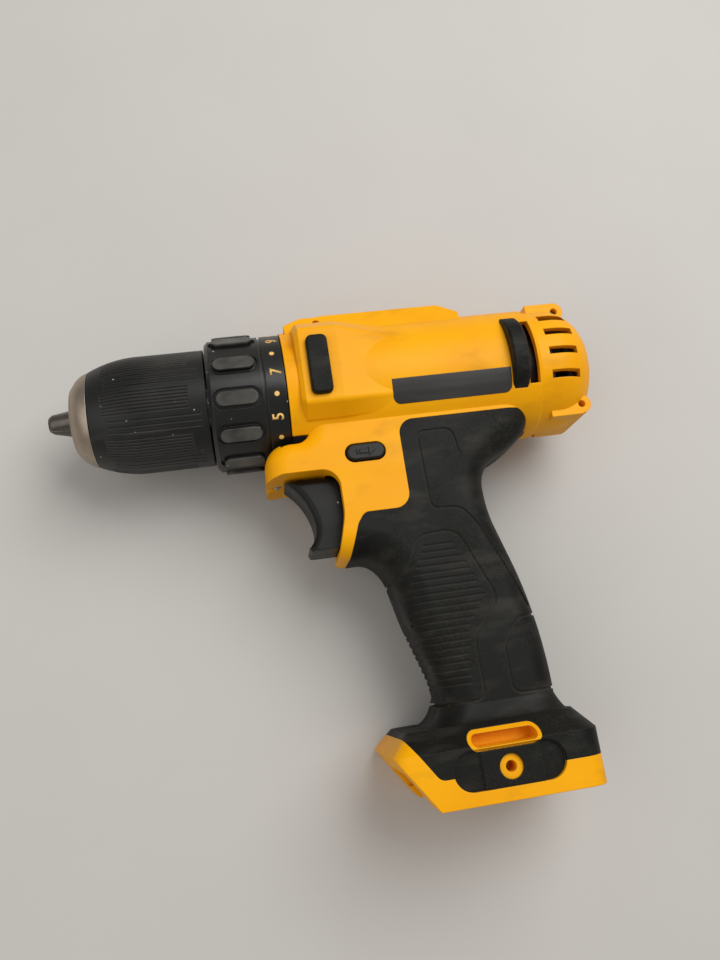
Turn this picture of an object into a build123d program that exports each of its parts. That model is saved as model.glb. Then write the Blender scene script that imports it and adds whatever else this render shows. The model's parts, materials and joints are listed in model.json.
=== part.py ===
"""Compact 12 V cordless drill and driver, bare tool, as a full assembly of separate pieces.

Millimetres. The spindle is the X axis, from the closed jaws' tips at x = 0 back to the motor. Y points up
from the handle to the head and Z out of the left side, so the drill lies on its right side with Z up, and
z = 0 is the plane where the two housing halves meet.
"""
import math
import os

from build123d import *

os.makedirs("parts", exist_ok=True)

# Clearances
fit_gap = 0.05          # radial gap of a running or seated round fit
free_gap = 0.4          # gap between pieces that only pass each other
slide_gap = 0.3         # gap beside sliding pieces
tooth_backlash = 0.16   # play between meshing teeth, along the pitch line

# Keyless chuck
jaw_protrusion = 8.6        # closed jaws stand this far out of the nose ring
jaw_diameter = 6.6
jaw_tilt = 14.0             # degrees between a jaw and the spindle axis
jaw_tip_radius = 2.9        # outer radius of the three closed tips together
jaw_length = 28.0
jaw_split_gap = 0.12        # gap between neighbouring closed jaws
chuck_capacity = 10.0       # largest bit shank
nose_length = 6.8
nose_front_radius = 11.6
nose_rear_radius = 16.3
nose_spigot_radius = 10.2
sleeve_length = 38.2
sleeve_radius = 20.0
sleeve_front_radius = 16.5
sleeve_taper_length = 15.0
sleeve_wall = 2.2
sleeve_panel_count = 8
sleeve_panel_grooves = 7
sleeve_groove_depth = 0.5
sleeve_groove_width = 0.55
sleeve_turn = 6.0           # degrees that the first panel is turned from +Y
jaw_nut_length = 7.0
jaw_nut_offset = 8.6        # jaw nut behind the sleeve's front edge

# Spindle
spindle_thread_radius = 4.75
spindle_journal_radius = 5.0
spindle_thread_length = 14.0
chuck_screw_radius = 2.4
chuck_screw_head_radius = 4.0
chuck_screw_head_length = 3.0

# Clutch collar
collar_length = 25.3
collar_radius = 22.6
collar_wall = 2.4
collar_grip_length = 18.0   # padded part, the rest is the numbered band
collar_pad_count = 12
collar_pad_radius = 23.7
collar_pad_length = 13.4
collar_pad_width = 4.6
collar_pad_border = 1.2
collar_groove_width = 0.9
collar_groove_depth = 0.7
clutch_nut_length = 4.0
clutch_wire = 1.6
clutch_spring_turns = 4

# Gearbox: three planetary stages
gear_module = 0.65
pressure_angle = 20.0
addendum = 0.8
dedendum = 1.1
ring_addendum = 0.6
outer_sun_teeth = 18        # first and output stages
outer_planet_teeth = 15
middle_sun_teeth = 16       # second stage, the one that shifts
middle_planet_teeth = 14
planet_count = 3
planet_width = 6.0
planet_bore = 3.0
planet_end_gap = 0.4
carrier_thickness = 2.6
shift_travel = 5.0
case_wall = 2.2
case_front_wall = 4.4
cover_thickness = 2.6
nose_tube_radius = 14.5
nose_tube_length = 22.5
bearing_radius = 9.5
bearing_width = 5.0
ball_count = 6

# Motor
motor_radius = 18.2
motor_can_length = 50.0
motor_wall = 1.4
magnet_thickness = 4.2
air_gap = 0.5
shaft_radius = 1.6
end_bell_length = 5.0
commutator_radius = 5.0
armature_slots = 5
fan_radius = 13.0
fan_width = 7.0
fan_blades = 11

# Housing head
wall = 2.4
head_radius = 23.0
head_length = 108.0         # housing front to the rear of the dome
dome_radius = 15.0          # rounding of the dome's rear edge
dome_step = 1.0             # the dome is this much slimmer than the barrel
bulge_start = 4.0           # gearbox bulge behind the housing's front
bulge_length = 33.0
bulge_run_out = 19.0        # its rear end sinks into the barrel over this length
bulge_half_width = 24.8
ridge_height = 26.2         # top ridge above the axis
ridge_half_width = 9.5
bumper_half_width = 27.0    # the drill lies on its bumpers and its foot
front_bumper_length = 20.2
front_bumper_width = 7.0
front_bumper_x = 91.0
bumper_rise = 2.0           # bumper centre above the axis
rear_bumper_width = 5.6
rear_bumper_x = 158.3
bumper_seat = 1.4
intake_width = 3.6
vent_height = 2.6
vent_length = 10.5

# Handle
handle_half_width = 16.8
grip_edge_radius = 9.0
switch_edge_radius = 7.0
skin = 1.8                  # rubber overmould
panel_groove_width = 0.9
panel_groove_depth = 0.5
palm_groove_width = 0.8
palm_groove_depth = 0.35
palm_groove_pitch = 2.2
palm_groove_count = 21
foot_half_width = 27.0
foot_length = 63.5
foot_front_x = 95.6
foot_bottom_y = -138.3
foot_side_y = -122.0        # the foot's straight sides start here
foot_top_y = -115.8
foot_slant = 11.6           # the foot's front leans back by this much
foot_corner_radius = 7.0

# Trigger and buttons
trigger_half_width = 9.8
trigger_travel = 6.5
trigger_top_y = -31.8
trigger_bottom_y = -55.8
button_length = 12.6
button_height = 5.4
button_x = 102.8
button_y = -26.6
button_proud = 1.0
selector_length = 13.0
selector_half_width = 6.0
selector_x = 104.0

# Battery socket and belt hook place
socket_half_width = 15.0
socket_neck_half_width = 12.0
socket_height = 10.8
socket_neck_height = 4.0
hook_x = 129.9
hook_y = -129.0
hook_boss_radius = 3.65
hook_hole_radius = 1.65
hook_hole_depth = 9.0
hook_plate_length = 34.2
hook_plate_height = 11.6
hook_slot_length = 20.0
hook_slot_height = 3.8
hook_slot_y = -120.6

# Fasteners and wires
screw_radius = 1.25
screw_head_radius = 2.8
screw_head_height = 2.0
screw_length = 10.5
boss_radius = 3.3
wire_radius = 0.9

# Stations along the spindle
sleeve_front_x = jaw_protrusion + nose_length
sleeve_rear_x = sleeve_front_x + sleeve_length
collar_front_x = sleeve_rear_x + 0.7
collar_rear_x = collar_front_x + collar_length
housing_front_x = collar_rear_x + free_gap
housing_rear_x = housing_front_x + head_length
head_bore = head_radius - wall
case_radius = head_bore - fit_gap
case_bore = case_radius - case_wall
case_front_x = housing_front_x
ring_output_x = case_front_x + case_front_wall + 0.3
output_planet_x = ring_output_x + 2.6
carrier_second_x = output_planet_x + planet_width + planet_end_gap
second_planet_x = carrier_second_x + carrier_thickness + planet_end_gap
carrier_first_x = second_planet_x + planet_width + planet_end_gap
carrier_first_thickness = carrier_thickness + 1.6
first_planet_x = carrier_first_x + carrier_first_thickness + planet_end_gap
cover_x = first_planet_x + planet_width + 2 * planet_end_gap
motor_x = cover_x + cover_thickness
end_bell_x = motor_x + motor_can_length
fan_x = end_bell_x + end_bell_length + 1.6


def export(part, name):
    """Writes one finished piece under its own name."""
    part.label = name
    export_step(part, f"parts/{name}.step")


def tube(x_start, length, outer, inner):
    """Round tube on the spindle axis, from x_start backwards."""
    with BuildPart() as piece:
        with BuildSketch(Plane.YZ.offset(x_start)):
            Circle(outer)
            if inner > 0:
                Circle(inner, mode=Mode.SUBTRACT)
        extrude(amount=length)
    return piece.part


def rod(x_start, length, radius):
    """Round bar on the spindle axis, from x_start backwards."""
    return tube(x_start, length, radius, 0)


def across(x, y, z_start, length, radius):
    """Round bar across the drill, along Z."""
    with BuildPart() as piece:
        with BuildSketch(Plane.XY.offset(z_start)):
            with Locations((x, y)):
                Circle(radius)
        extrude(amount=length)
    return piece.part


def box_between(x, y, z):
    """Box between two limits on each axis."""
    with BuildPart() as piece:
        with Locations(((x[0] + x[1]) / 2, (y[0] + y[1]) / 2, (z[0] + z[1]) / 2)):
            Box(x[1] - x[0], y[1] - y[0], z[1] - z[0])
    return piece.part


def radial_plane(x, angle):
    """Plane on the spindle axis whose normal points out at angle, measured from +Y towards +Z."""
    outward = (0, math.cos(math.radians(angle)), math.sin(math.radians(angle)))
    return Plane(origin=(x, 0, 0), x_dir=(1, 0, 0), z_dir=outward)


# Keyless chuck
def jaw_axis_radius(x):
    """Distance of a jaw's centre line from the spindle axis at station x."""
    return jaw_tip_radius - jaw_diameter / 2 + x * math.tan(math.radians(jaw_tilt))


def jaw_cylinder(angle, radius, x_start, x_end):
    """Round bar on the inclined centre line of the jaw at angle, between two stations."""
    side = Vector(0, math.cos(math.radians(angle)), math.sin(math.radians(angle)))
    start = Vector(x_start, 0, 0) + side * jaw_axis_radius(x_start)
    end = Vector(x_end, 0, 0) + side * jaw_axis_radius(x_end)
    with BuildPart() as piece:
        with BuildSketch(Plane(origin=start, z_dir=end - start)):
            Circle(radius)
        extrude(amount=(end - start).length)
    return piece.part


jaw_angles = [90 + 120 * k for k in range(3)]
sleeve_bore = sleeve_radius - sleeve_wall - 1.0
sleeve_lip_bore = sleeve_front_radius - 2.0
sleeve_lip_length = 4.6
chuck_rear_x = sleeve_rear_x - 0.8
jaw_nut_x = sleeve_front_x + jaw_nut_offset
nut_groove_radius = jaw_axis_radius(jaw_nut_x) + jaw_diameter / 2 - 0.6
screw_seat_x = jaw_nut_x + jaw_nut_length + 5.6
thread_start_x = chuck_rear_x - spindle_thread_length
bit_bore_radius = chuck_capacity / 2 + 0.2

jaw_bores = [
    jaw_cylinder(angle, jaw_diameter / 2 + fit_gap, jaw_protrusion - 4, chuck_rear_x - 1.5)
    for angle in jaw_angles
]
with BuildPart() as chuck_body:
    with BuildSketch(Plane.XY):
        with BuildLine():
            Polyline(
                (jaw_protrusion, bit_bore_radius),
                (jaw_protrusion, nose_spigot_radius),
                (sleeve_front_x - 0.2, nose_spigot_radius),
                (sleeve_front_x - 0.2, sleeve_lip_bore - free_gap),
                (sleeve_front_x + sleeve_lip_length + 0.3, sleeve_lip_bore - free_gap),
                (sleeve_front_x + sleeve_lip_length + 0.3, sleeve_bore - free_gap),
                (chuck_rear_x - 9, sleeve_bore - free_gap),
                (chuck_rear_x - 9, sleeve_bore - fit_gap),
                (chuck_rear_x - 3, sleeve_bore - fit_gap),
                (chuck_rear_x, sleeve_bore - 3),
                (chuck_rear_x, spindle_thread_radius + fit_gap),
                (thread_start_x, spindle_thread_radius + fit_gap),
                (thread_start_x, chuck_screw_radius + fit_gap),
                (screw_seat_x, chuck_screw_radius + fit_gap),
                (screw_seat_x, bit_bore_radius),
                close=True,
            )
        make_face()
    revolve(axis=Axis.X)
    add(tube(jaw_nut_x - 0.2, jaw_nut_length + 0.4, sleeve_bore + 1, nut_groove_radius), mode=Mode.SUBTRACT)
    add(jaw_bores, mode=Mode.SUBTRACT)
export(chuck_body.part, "chuck_body")

with BuildPart() as chuck_nose_ring:
    with BuildSketch(Plane.XY):
        with BuildLine():
            ring_rear = (sleeve_front_x - 0.3, nose_rear_radius)
            Line((jaw_protrusion, nose_spigot_radius + 0.02), (jaw_protrusion, nose_front_radius - 0.8))
            ThreePointArc(
                (jaw_protrusion, nose_front_radius - 0.8),
                (jaw_protrusion + 0.3, nose_front_radius),
                (jaw_protrusion + 0.9, nose_front_radius + 0.6),
            )
            ThreePointArc(
                (jaw_protrusion + 0.9, nose_front_radius + 0.6),
                (
                    jaw_protrusion + 0.55 * nose_length,
                    0.6 * nose_rear_radius + 0.4 * nose_front_radius + 0.75,
                ),
                ring_rear,
            )
            Line(ring_rear, (sleeve_front_x - 0.3, nose_spigot_radius + 0.02))
            Line(
                (sleeve_front_x - 0.3, nose_spigot_radius + 0.02),
                (jaw_protrusion, nose_spigot_radius + 0.02),
            )
        make_face()
    revolve(axis=Axis.X)
export(chuck_nose_ring.part, "chuck_nose_ring")


def sleeve_skin_face(depth):
    """Outline of the sleeve's outer surface drawn in by depth, closed on the spindle axis."""
    full_x = sleeve_front_x + sleeve_taper_length
    with BuildSketch(Plane.XY) as outline:
        with BuildLine():
            front = (sleeve_front_x, sleeve_front_radius - depth)
            middle = (sleeve_front_x + 0.42 * sleeve_taper_length, sleeve_radius - 1.25 - depth)
            full = (full_x, sleeve_radius - depth)
            rear = (sleeve_rear_x, sleeve_radius - depth)
            ThreePointArc(front, middle, full)
            Line(full, rear)
            Polyline(rear, (sleeve_rear_x, 0), (sleeve_front_x, 0), front)
        make_face()
    return outline.sketch


with BuildPart() as sleeve_outer:
    add(sleeve_skin_face(0))
    revolve(axis=Axis.X)
with BuildPart() as sleeve_inner_skin:
    add(sleeve_skin_face(sleeve_groove_depth))
    revolve(axis=Axis.X)

panel_pitch = 360 / sleeve_panel_count
panel_step = math.degrees(2.1 * sleeve_groove_width / sleeve_radius)
panel_start_x = sleeve_front_x + 4.5
panel_end_x = sleeve_rear_x - 5.5
with BuildPart() as sleeve_slabs:
    panel_middle_x = (panel_start_x + panel_end_x) / 2
    for panel in range(sleeve_panel_count):
        for groove in range(sleeve_panel_grooves):
            turn = sleeve_turn + panel * panel_pitch + (groove - (sleeve_panel_grooves - 1) / 2) * panel_step
            with BuildSketch(radial_plane(panel_middle_x, turn).offset(sleeve_bore - 1)):
                SlotOverall(panel_end_x - panel_start_x, sleeve_groove_width)
        for groove in range(3):
            turn = sleeve_turn + (panel + 0.5) * panel_pitch + (groove - 1) * panel_step * 1.7
            with BuildSketch(radial_plane(panel_middle_x + 2.5, turn).offset(sleeve_bore - 1)):
                SlotOverall(panel_end_x - panel_start_x + 2, sleeve_groove_width)
    extrude(amount=sleeve_wall + 4)
with BuildPart() as sleeve_grooves:
    add(sleeve_slabs.part)
    add(sleeve_inner_skin.part, mode=Mode.SUBTRACT)
with BuildPart() as chuck_sleeve:
    add(sleeve_outer.part)
    add(rod(sleeve_front_x - 1, sleeve_lip_length + 1.5, sleeve_lip_bore), mode=Mode.SUBTRACT)
    add(rod(sleeve_front_x + sleeve_lip_length, sleeve_length, sleeve_bore), mode=Mode.SUBTRACT)
    add(sleeve_grooves.part, mode=Mode.SUBTRACT)
export(chuck_sleeve.part, "chuck_sleeve")

with BuildPart() as jaw_nut:
    with BuildSketch(Plane.XY):
        with BuildLine():
            nut_reach = jaw_diameter / 2 / math.cos(math.radians(jaw_tilt)) + 0.15
            Polyline(
                (jaw_nut_x, jaw_axis_radius(jaw_nut_x) + nut_reach),
                (jaw_nut_x, sleeve_bore - 0.02),
                (jaw_nut_x + jaw_nut_length, sleeve_bore - 0.02),
                (jaw_nut_x + jaw_nut_length, jaw_axis_radius(jaw_nut_x + jaw_nut_length) + nut_reach),
                close=True,
            )
        make_face()
    revolve(axis=Axis.X)
export(jaw_nut.part, "jaw_nut")

with BuildPart() as jaw_tip_form:
    with BuildSketch(Plane.XY):
        with BuildLine():
            Polyline(
                (0, 0),
                (0, jaw_tip_radius - 0.5),
                (1.0, jaw_tip_radius + 0.25),
                (jaw_length, jaw_axis_radius(jaw_length) + jaw_diameter),
                (jaw_length + 4, 0),
                close=True,
            )
        make_face()
    revolve(axis=Axis.X)
for number, angle in enumerate(jaw_angles, 1):
    bar = jaw_cylinder(angle, jaw_diameter / 2, -4, jaw_length)
    split_shift = jaw_split_gap / 2 / math.sin(math.radians(60))
    sides = [angle - 60, angle + 60]
    reach = 60
    apex = (split_shift * math.cos(math.radians(angle)), split_shift * math.sin(math.radians(angle)))
    with BuildPart() as chuck_jaw:
        with BuildSketch(Plane.YZ):
            with BuildLine():
                Polyline(
                    apex,
                    *[
                        (
                            apex[0] + reach * math.cos(math.radians(side)),
                            apex[1] + reach * math.sin(math.radians(side)),
                        )
                        for side in sides
                    ],
                    close=True,
                )
            make_face()
        extrude(amount=jaw_length + 6)
        add(bar, mode=Mode.INTERSECT)
        add(jaw_tip_form.part, mode=Mode.INTERSECT)
    export(chuck_jaw.part, f"chuck_jaw_{number}")

with BuildPart() as chuck_screw:
    with BuildSketch(Plane.YZ.offset(screw_seat_x - chuck_screw_head_length)):
        Circle(chuck_screw_head_radius)
    extrude(amount=chuck_screw_head_length)
    fillet(chuck_screw.faces().sort_by(Axis.X)[0].edges(), radius=0.8)
    with BuildSketch(chuck_screw.faces().sort_by(Axis.X)[-1]):
        Circle(chuck_screw_radius)
    extrude(amount=spindle_thread_length)
    with BuildSketch(Plane.YZ.offset(screw_seat_x - chuck_screw_head_length)):
        RegularPolygon(1.6, 6)
    extrude(amount=1.6, mode=Mode.SUBTRACT)
export(chuck_screw.part, "chuck_screw")


# Gear teeth
def involute(angle):
    """Involute function of an angle in radians."""
    return math.tan(angle) - angle


def tooth_half_angle(teeth, radius, widening):
    """Half of the angle that an involute tooth spans at a radius, with its thickness changed by widening."""
    pitch_radius = gear_module * teeth / 2
    pressure = math.radians(pressure_angle)
    local = math.acos(min(1.0, pitch_radius * math.cos(pressure) / radius))
    return math.pi / 2 / teeth + widening / 2 / pitch_radius + involute(pressure) - involute(local)


def toothed_points(teeth, inner, outer, widening, phase):
    """Corner points of a toothed outline whose first tooth is centred at phase radians."""
    pitch_radius = gear_module * teeth / 2
    radii = [inner, pitch_radius, outer]
    points = []
    for tooth in range(teeth):
        centre = phase + 2 * math.pi * tooth / teeth
        flank = [(radius, tooth_half_angle(teeth, radius, widening)) for radius in radii]
        for radius, half in flank:
            points.append((radius * math.cos(centre - half), radius * math.sin(centre - half)))
        for radius, half in reversed(flank):
            points.append((radius * math.cos(centre + half), radius * math.sin(centre + half)))
    return points


def outside_teeth(teeth, phase, centre, x_start, width):
    """Toothed bar on an axis parallel to the spindle."""
    pitch_radius = gear_module * teeth / 2
    outline = toothed_points(
        teeth,
        pitch_radius - dedendum * gear_module,
        pitch_radius + addendum * gear_module,
        -tooth_backlash / 2,
        phase,
    )
    with BuildPart() as piece:
        with BuildSketch(Plane.YZ.offset(x_start)):
            with BuildLine():
                Polyline(*[(y + centre[0], z + centre[1]) for y, z in outline], close=True)
            make_face()
        extrude(amount=width)
    return piece.part


def ring_teeth(teeth, phase, outer_radius, x_start, width):
    """Ring with inside teeth whose first gap is centred at phase radians."""
    pitch_radius = gear_module * teeth / 2
    gap_outline = toothed_points(
        teeth,
        pitch_radius - ring_addendum * gear_module,
        pitch_radius + dedendum * gear_module,
        tooth_backlash / 2,
        phase,
    )
    with BuildPart() as piece:
        with BuildSketch(Plane.YZ.offset(x_start)):
            Circle(outer_radius)
            with BuildLine():
                Polyline(*gap_outline, close=True)
            make_face(mode=Mode.SUBTRACT)
        extrude(amount=width)
    return piece.part


def planet_places(sun_teeth, planet_teeth):
    """Centre and tooth phase of each planet, in mesh with a sun that has a tooth at angle zero."""
    distance = gear_module * (sun_teeth + planet_teeth) / 2
    places = []
    for number in range(planet_count):
        turn = 2 * math.pi * number / planet_count
        phase = turn + math.pi - math.pi / planet_teeth + turn * sun_teeth / planet_teeth
        places.append(((distance * math.cos(turn), distance * math.sin(turn)), phase))
    return places


def ring_phase(planet_teeth, ring_count):
    """Angle of the ring's first gap, in mesh with those planets."""
    return -((1 - planet_teeth) / 2 % 1) * 2 * math.pi / ring_count


def planet_pins(places, x_start, length):
    """Carrier pins that the planets turn on."""
    with BuildPart() as piece:
        with BuildSketch(Plane.YZ.offset(x_start)):
            with Locations(*[place[0] for place in places]):
                Circle(planet_bore / 2 - fit_gap)
        extrude(amount=length)
    return piece.part


outer_ring_teeth = outer_sun_teeth + 2 * outer_planet_teeth
middle_ring_teeth = middle_sun_teeth + 2 * middle_planet_teeth
outer_places = planet_places(outer_sun_teeth, outer_planet_teeth)
middle_places = planet_places(middle_sun_teeth, middle_planet_teeth)
ring_radius = case_bore - fit_gap
carrier_radius = gear_module * middle_ring_teeth / 2 - 1.0
shift_ring_x = second_planet_x - planet_end_gap
shift_ring_width = first_planet_x - planet_end_gap - shift_travel - shift_ring_x
yoke_width = 2.0
yoke_x = shift_ring_x + shift_ring_width / 2 - yoke_width / 2
yoke_half_span = 4.0
yoke_groove_depth = 1.2

stages = [
    ("first", first_planet_x, outer_places, outer_planet_teeth),
    ("second", second_planet_x, middle_places, middle_planet_teeth),
    ("output", output_planet_x, outer_places, outer_planet_teeth),
]
for stage, station, places, teeth in stages:
    for number, (centre, phase) in enumerate(places, 1):
        toothed = outside_teeth(teeth, phase, centre, station, planet_width)
        with BuildPart() as planet:
            add(toothed)
            with BuildSketch(Plane.YZ.offset(station)):
                with Locations(centre):
                    Circle(planet_bore / 2)
            extrude(amount=planet_width, mode=Mode.SUBTRACT)
        export(planet.part, f"planet_{stage}_{number}")

output_phase = ring_phase(outer_planet_teeth, outer_ring_teeth)
export(
    ring_teeth(outer_ring_teeth, output_phase, ring_radius, ring_output_x, carrier_second_x - ring_output_x),
    "ring_gear_output",
)
first_ring_x = first_planet_x + planet_end_gap
export(
    ring_teeth(outer_ring_teeth, output_phase, ring_radius, first_ring_x, cover_x - first_ring_x),
    "ring_gear_first",
)
middle_phase = ring_phase(middle_planet_teeth, middle_ring_teeth)
middle_ring = ring_teeth(middle_ring_teeth, middle_phase, ring_radius, shift_ring_x, shift_ring_width)
yoke_groove = tube(yoke_x - 0.1, yoke_width + 0.2, ring_radius + 1, ring_radius - yoke_groove_depth)
with BuildPart() as ring_gear_second:
    add(middle_ring)
    add(yoke_groove, mode=Mode.SUBTRACT)
export(ring_gear_second.part, "ring_gear_second")

pin_length = planet_width + planet_end_gap
middle_sun = outside_teeth(
    middle_sun_teeth, 0, (0, 0), second_planet_x, carrier_first_x - second_planet_x
)
first_pins = planet_pins(outer_places, carrier_first_x + carrier_first_thickness, pin_length)
with BuildPart() as carrier_first:
    with BuildSketch(Plane.YZ.offset(carrier_first_x)):
        Circle(carrier_radius)
    extrude(amount=carrier_first_thickness)
    chamfer(carrier_first.edges().filter_by(GeomType.CIRCLE), length=0.5)
    add(middle_sun)
    add(first_pins)
export(carrier_first.part, "carrier_first")

output_sun = outside_teeth(
    outer_sun_teeth, 0, (0, 0), output_planet_x, carrier_second_x - output_planet_x
)
second_pins = planet_pins(middle_places, carrier_second_x + carrier_thickness, pin_length)
with BuildPart() as carrier_second:
    with BuildSketch(Plane.YZ.offset(carrier_second_x)):
        Circle(carrier_radius)
    extrude(amount=carrier_thickness)
    chamfer(carrier_second.edges().filter_by(GeomType.CIRCLE), length=0.5)
    add(output_sun)
    add(second_pins)
export(carrier_second.part, "carrier_second")

# Spindle with the output carrier, and its two bearings
flange_x = case_front_x + case_front_wall + 0.3
nose_tube_front_x = housing_front_x - nose_tube_length
front_bearing_x = nose_tube_front_x + 0.6
rear_bearing_x = case_front_x - bearing_width - 0.6
output_pins = planet_pins(outer_places, output_planet_x - planet_end_gap, pin_length)
with BuildPart() as spindle:
    with BuildSketch(Plane.XY):
        with BuildLine():
            Polyline(
                (thread_start_x + 0.1, 0),
                (thread_start_x + 0.1, spindle_thread_radius - 0.6),
                (thread_start_x + 0.7, spindle_thread_radius),
                (chuck_rear_x + 0.1, spindle_thread_radius),
                (chuck_rear_x + 0.1, spindle_journal_radius + 1.6),
                (front_bearing_x - 0.1, spindle_journal_radius + 1.6),
                (front_bearing_x - 0.1, spindle_journal_radius),
                (rear_bearing_x + bearing_width + 0.1, spindle_journal_radius),
                (rear_bearing_x + bearing_width + 0.1, spindle_journal_radius + 1.6),
                (flange_x, spindle_journal_radius + 1.6),
                (flange_x, carrier_radius),
                (output_planet_x - planet_end_gap, carrier_radius),
                (output_planet_x - planet_end_gap, 0),
                close=True,
            )
        make_face()
    revolve(axis=Axis.X)
    add(output_pins)
    add(rod(thread_start_x, spindle_thread_length - 1, chuck_screw_radius + fit_gap), mode=Mode.SUBTRACT)
export(spindle.part, "spindle")

with BuildPart() as spindle_bearings:
    for station in (front_bearing_x, rear_bearing_x):
        with BuildSketch(Plane.YZ.offset(station)):
            Circle(bearing_radius)
            Circle(spindle_journal_radius + 0.02, mode=Mode.SUBTRACT)
        extrude(amount=bearing_width)
    for station, inward in ((front_bearing_x, 1), (rear_bearing_x + bearing_width, -1)):
        with BuildSketch(Plane.YZ.offset(station)):
            Circle(bearing_radius - 1.2)
            Circle(spindle_journal_radius + 1.2, mode=Mode.SUBTRACT)
        extrude(amount=0.5 * inward, mode=Mode.SUBTRACT)
export(spindle_bearings.part, "spindle_bearings")

# Gearbox case with the threaded nose, its cover and screws
collar_bore = collar_radius - collar_wall
collar_seat_radius = collar_bore - fit_gap
collar_seat_length = 8.0
ball_radius = (case_front_wall + 0.6) / 2
ball_x = ring_output_x - ball_radius
ball_circle = (nose_tube_radius + ring_radius) / 2 + 0.4
washer_thickness = 1.4
washer_rear_x = ball_x - ball_radius
washer_radius = collar_seat_radius - 1.9
yoke_slot_length = yoke_width + shift_travel + 2 * slide_gap

with BuildPart() as gearbox_case:
    with BuildSketch(Plane.XY):
        with BuildLine():
            Polyline(
                (nose_tube_front_x, bearing_radius + 0.02),
                (nose_tube_front_x, nose_tube_radius - 0.8),
                (nose_tube_front_x + 0.8, nose_tube_radius),
                (case_front_x, nose_tube_radius),
                (case_front_x, collar_seat_radius - 1.6),
                (case_front_x - collar_seat_length, collar_seat_radius - 1.6),
                (case_front_x - collar_seat_length, collar_seat_radius),
                (case_front_x - 0.1, collar_seat_radius),
                (case_front_x - 0.1, case_radius),
                (cover_x, case_radius),
                (cover_x, case_bore),
                (case_front_x + case_front_wall, case_bore),
                (case_front_x + case_front_wall, spindle_journal_radius + 2.2),
                (rear_bearing_x + bearing_width, spindle_journal_radius + 2.2),
                (rear_bearing_x + bearing_width, bearing_radius + 0.02),
                (rear_bearing_x, bearing_radius + 0.02),
                (rear_bearing_x, bearing_radius - 1.4),
                (front_bearing_x + bearing_width, bearing_radius - 1.4),
                (front_bearing_x + bearing_width, bearing_radius + 0.02),
                close=True,
            )
        make_face()
    revolve(axis=Axis.X)
    with BuildSketch(Plane.YZ.offset(case_front_x - 0.5)):
        with PolarLocations(ball_circle, ball_count):
            Circle(ball_radius + fit_gap)
    extrude(amount=case_front_wall + 1, mode=Mode.SUBTRACT)
    with BuildSketch(Plane.XZ.offset(-case_radius - 1)):
        with Locations((yoke_x - slide_gap + yoke_slot_length / 2, 0)):
            Rectangle(yoke_slot_length, 2 * (yoke_half_span + slide_gap))
    extrude(amount=case_wall + 2.2, mode=Mode.SUBTRACT)
export(gearbox_case.part, "gearbox_case")

cover_hole_radius = 7.4
motor_screw_circle = 12.5
motor_screw_radius = 1.5
motor_screw_head_radius = 2.75
motor_screw_head = 1.6
motor_screw_length = 4.6
with BuildPart() as gearbox_cover:
    with BuildSketch(Plane.YZ.offset(cover_x)):
        Circle(case_radius)
        Circle(cover_hole_radius, mode=Mode.SUBTRACT)
        with PolarLocations(motor_screw_circle, 2):
            Circle(motor_screw_radius + 0.1, mode=Mode.SUBTRACT)
    extrude(amount=cover_thickness)
    with BuildSketch(Plane.YZ.offset(cover_x)):
        with PolarLocations(motor_screw_circle, 2):
            Circle(motor_screw_head_radius + 0.2)
    extrude(amount=motor_screw_head, mode=Mode.SUBTRACT)
export(gearbox_cover.part, "gearbox_cover")

with BuildPart() as motor_screws:
    with BuildSketch(Plane.YZ.offset(cover_x)):
        with PolarLocations(motor_screw_circle, 2):
            Circle(motor_screw_head_radius)
    extrude(amount=motor_screw_head)
    with BuildSketch(Plane.YZ.offset(cover_x + motor_screw_head)):
        with PolarLocations(motor_screw_circle, 2):
            Circle(motor_screw_radius)
    extrude(amount=motor_screw_length)
export(motor_screws.part, "motor_screws")

with BuildPart() as clutch_washer:
    add(tube(washer_rear_x - washer_thickness, washer_thickness, washer_radius, nose_tube_radius + slide_gap))
export(clutch_washer.part, "clutch_washer")

with BuildPart() as clutch_balls:
    with Locations(Plane.YZ.offset(ball_x)):
        with PolarLocations(ball_circle, ball_count):
            Sphere(ball_radius)
export(clutch_balls.part, "clutch_balls")

# Clutch collar, with its nut and spring
key_count = 4
key_width = 5.0
key_depth = 0.9
nut_x = washer_rear_x - washer_thickness - 11.4 - clutch_nut_length
first_pad_angle = 103.5     # degrees from +Y towards +Z
pad_angles = [first_pad_angle + 360 / collar_pad_count * pad for pad in range(collar_pad_count)]
pad_middle_x = collar_front_x + 1.4 + collar_pad_border + collar_pad_length / 2
collar_front_wall = 2.2


def collar_keys(reach, width, x_start, length):
    """Blocks on the collar's bore that key the nut to it."""
    with BuildPart() as piece:
        for key in range(key_count):
            place = radial_plane(x_start + length / 2, 45 + key * 360 / key_count)
            with BuildSketch(place.offset(collar_bore - 2)):
                Rectangle(length, width)
        extrude(amount=reach + 2)
    return piece.part


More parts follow.
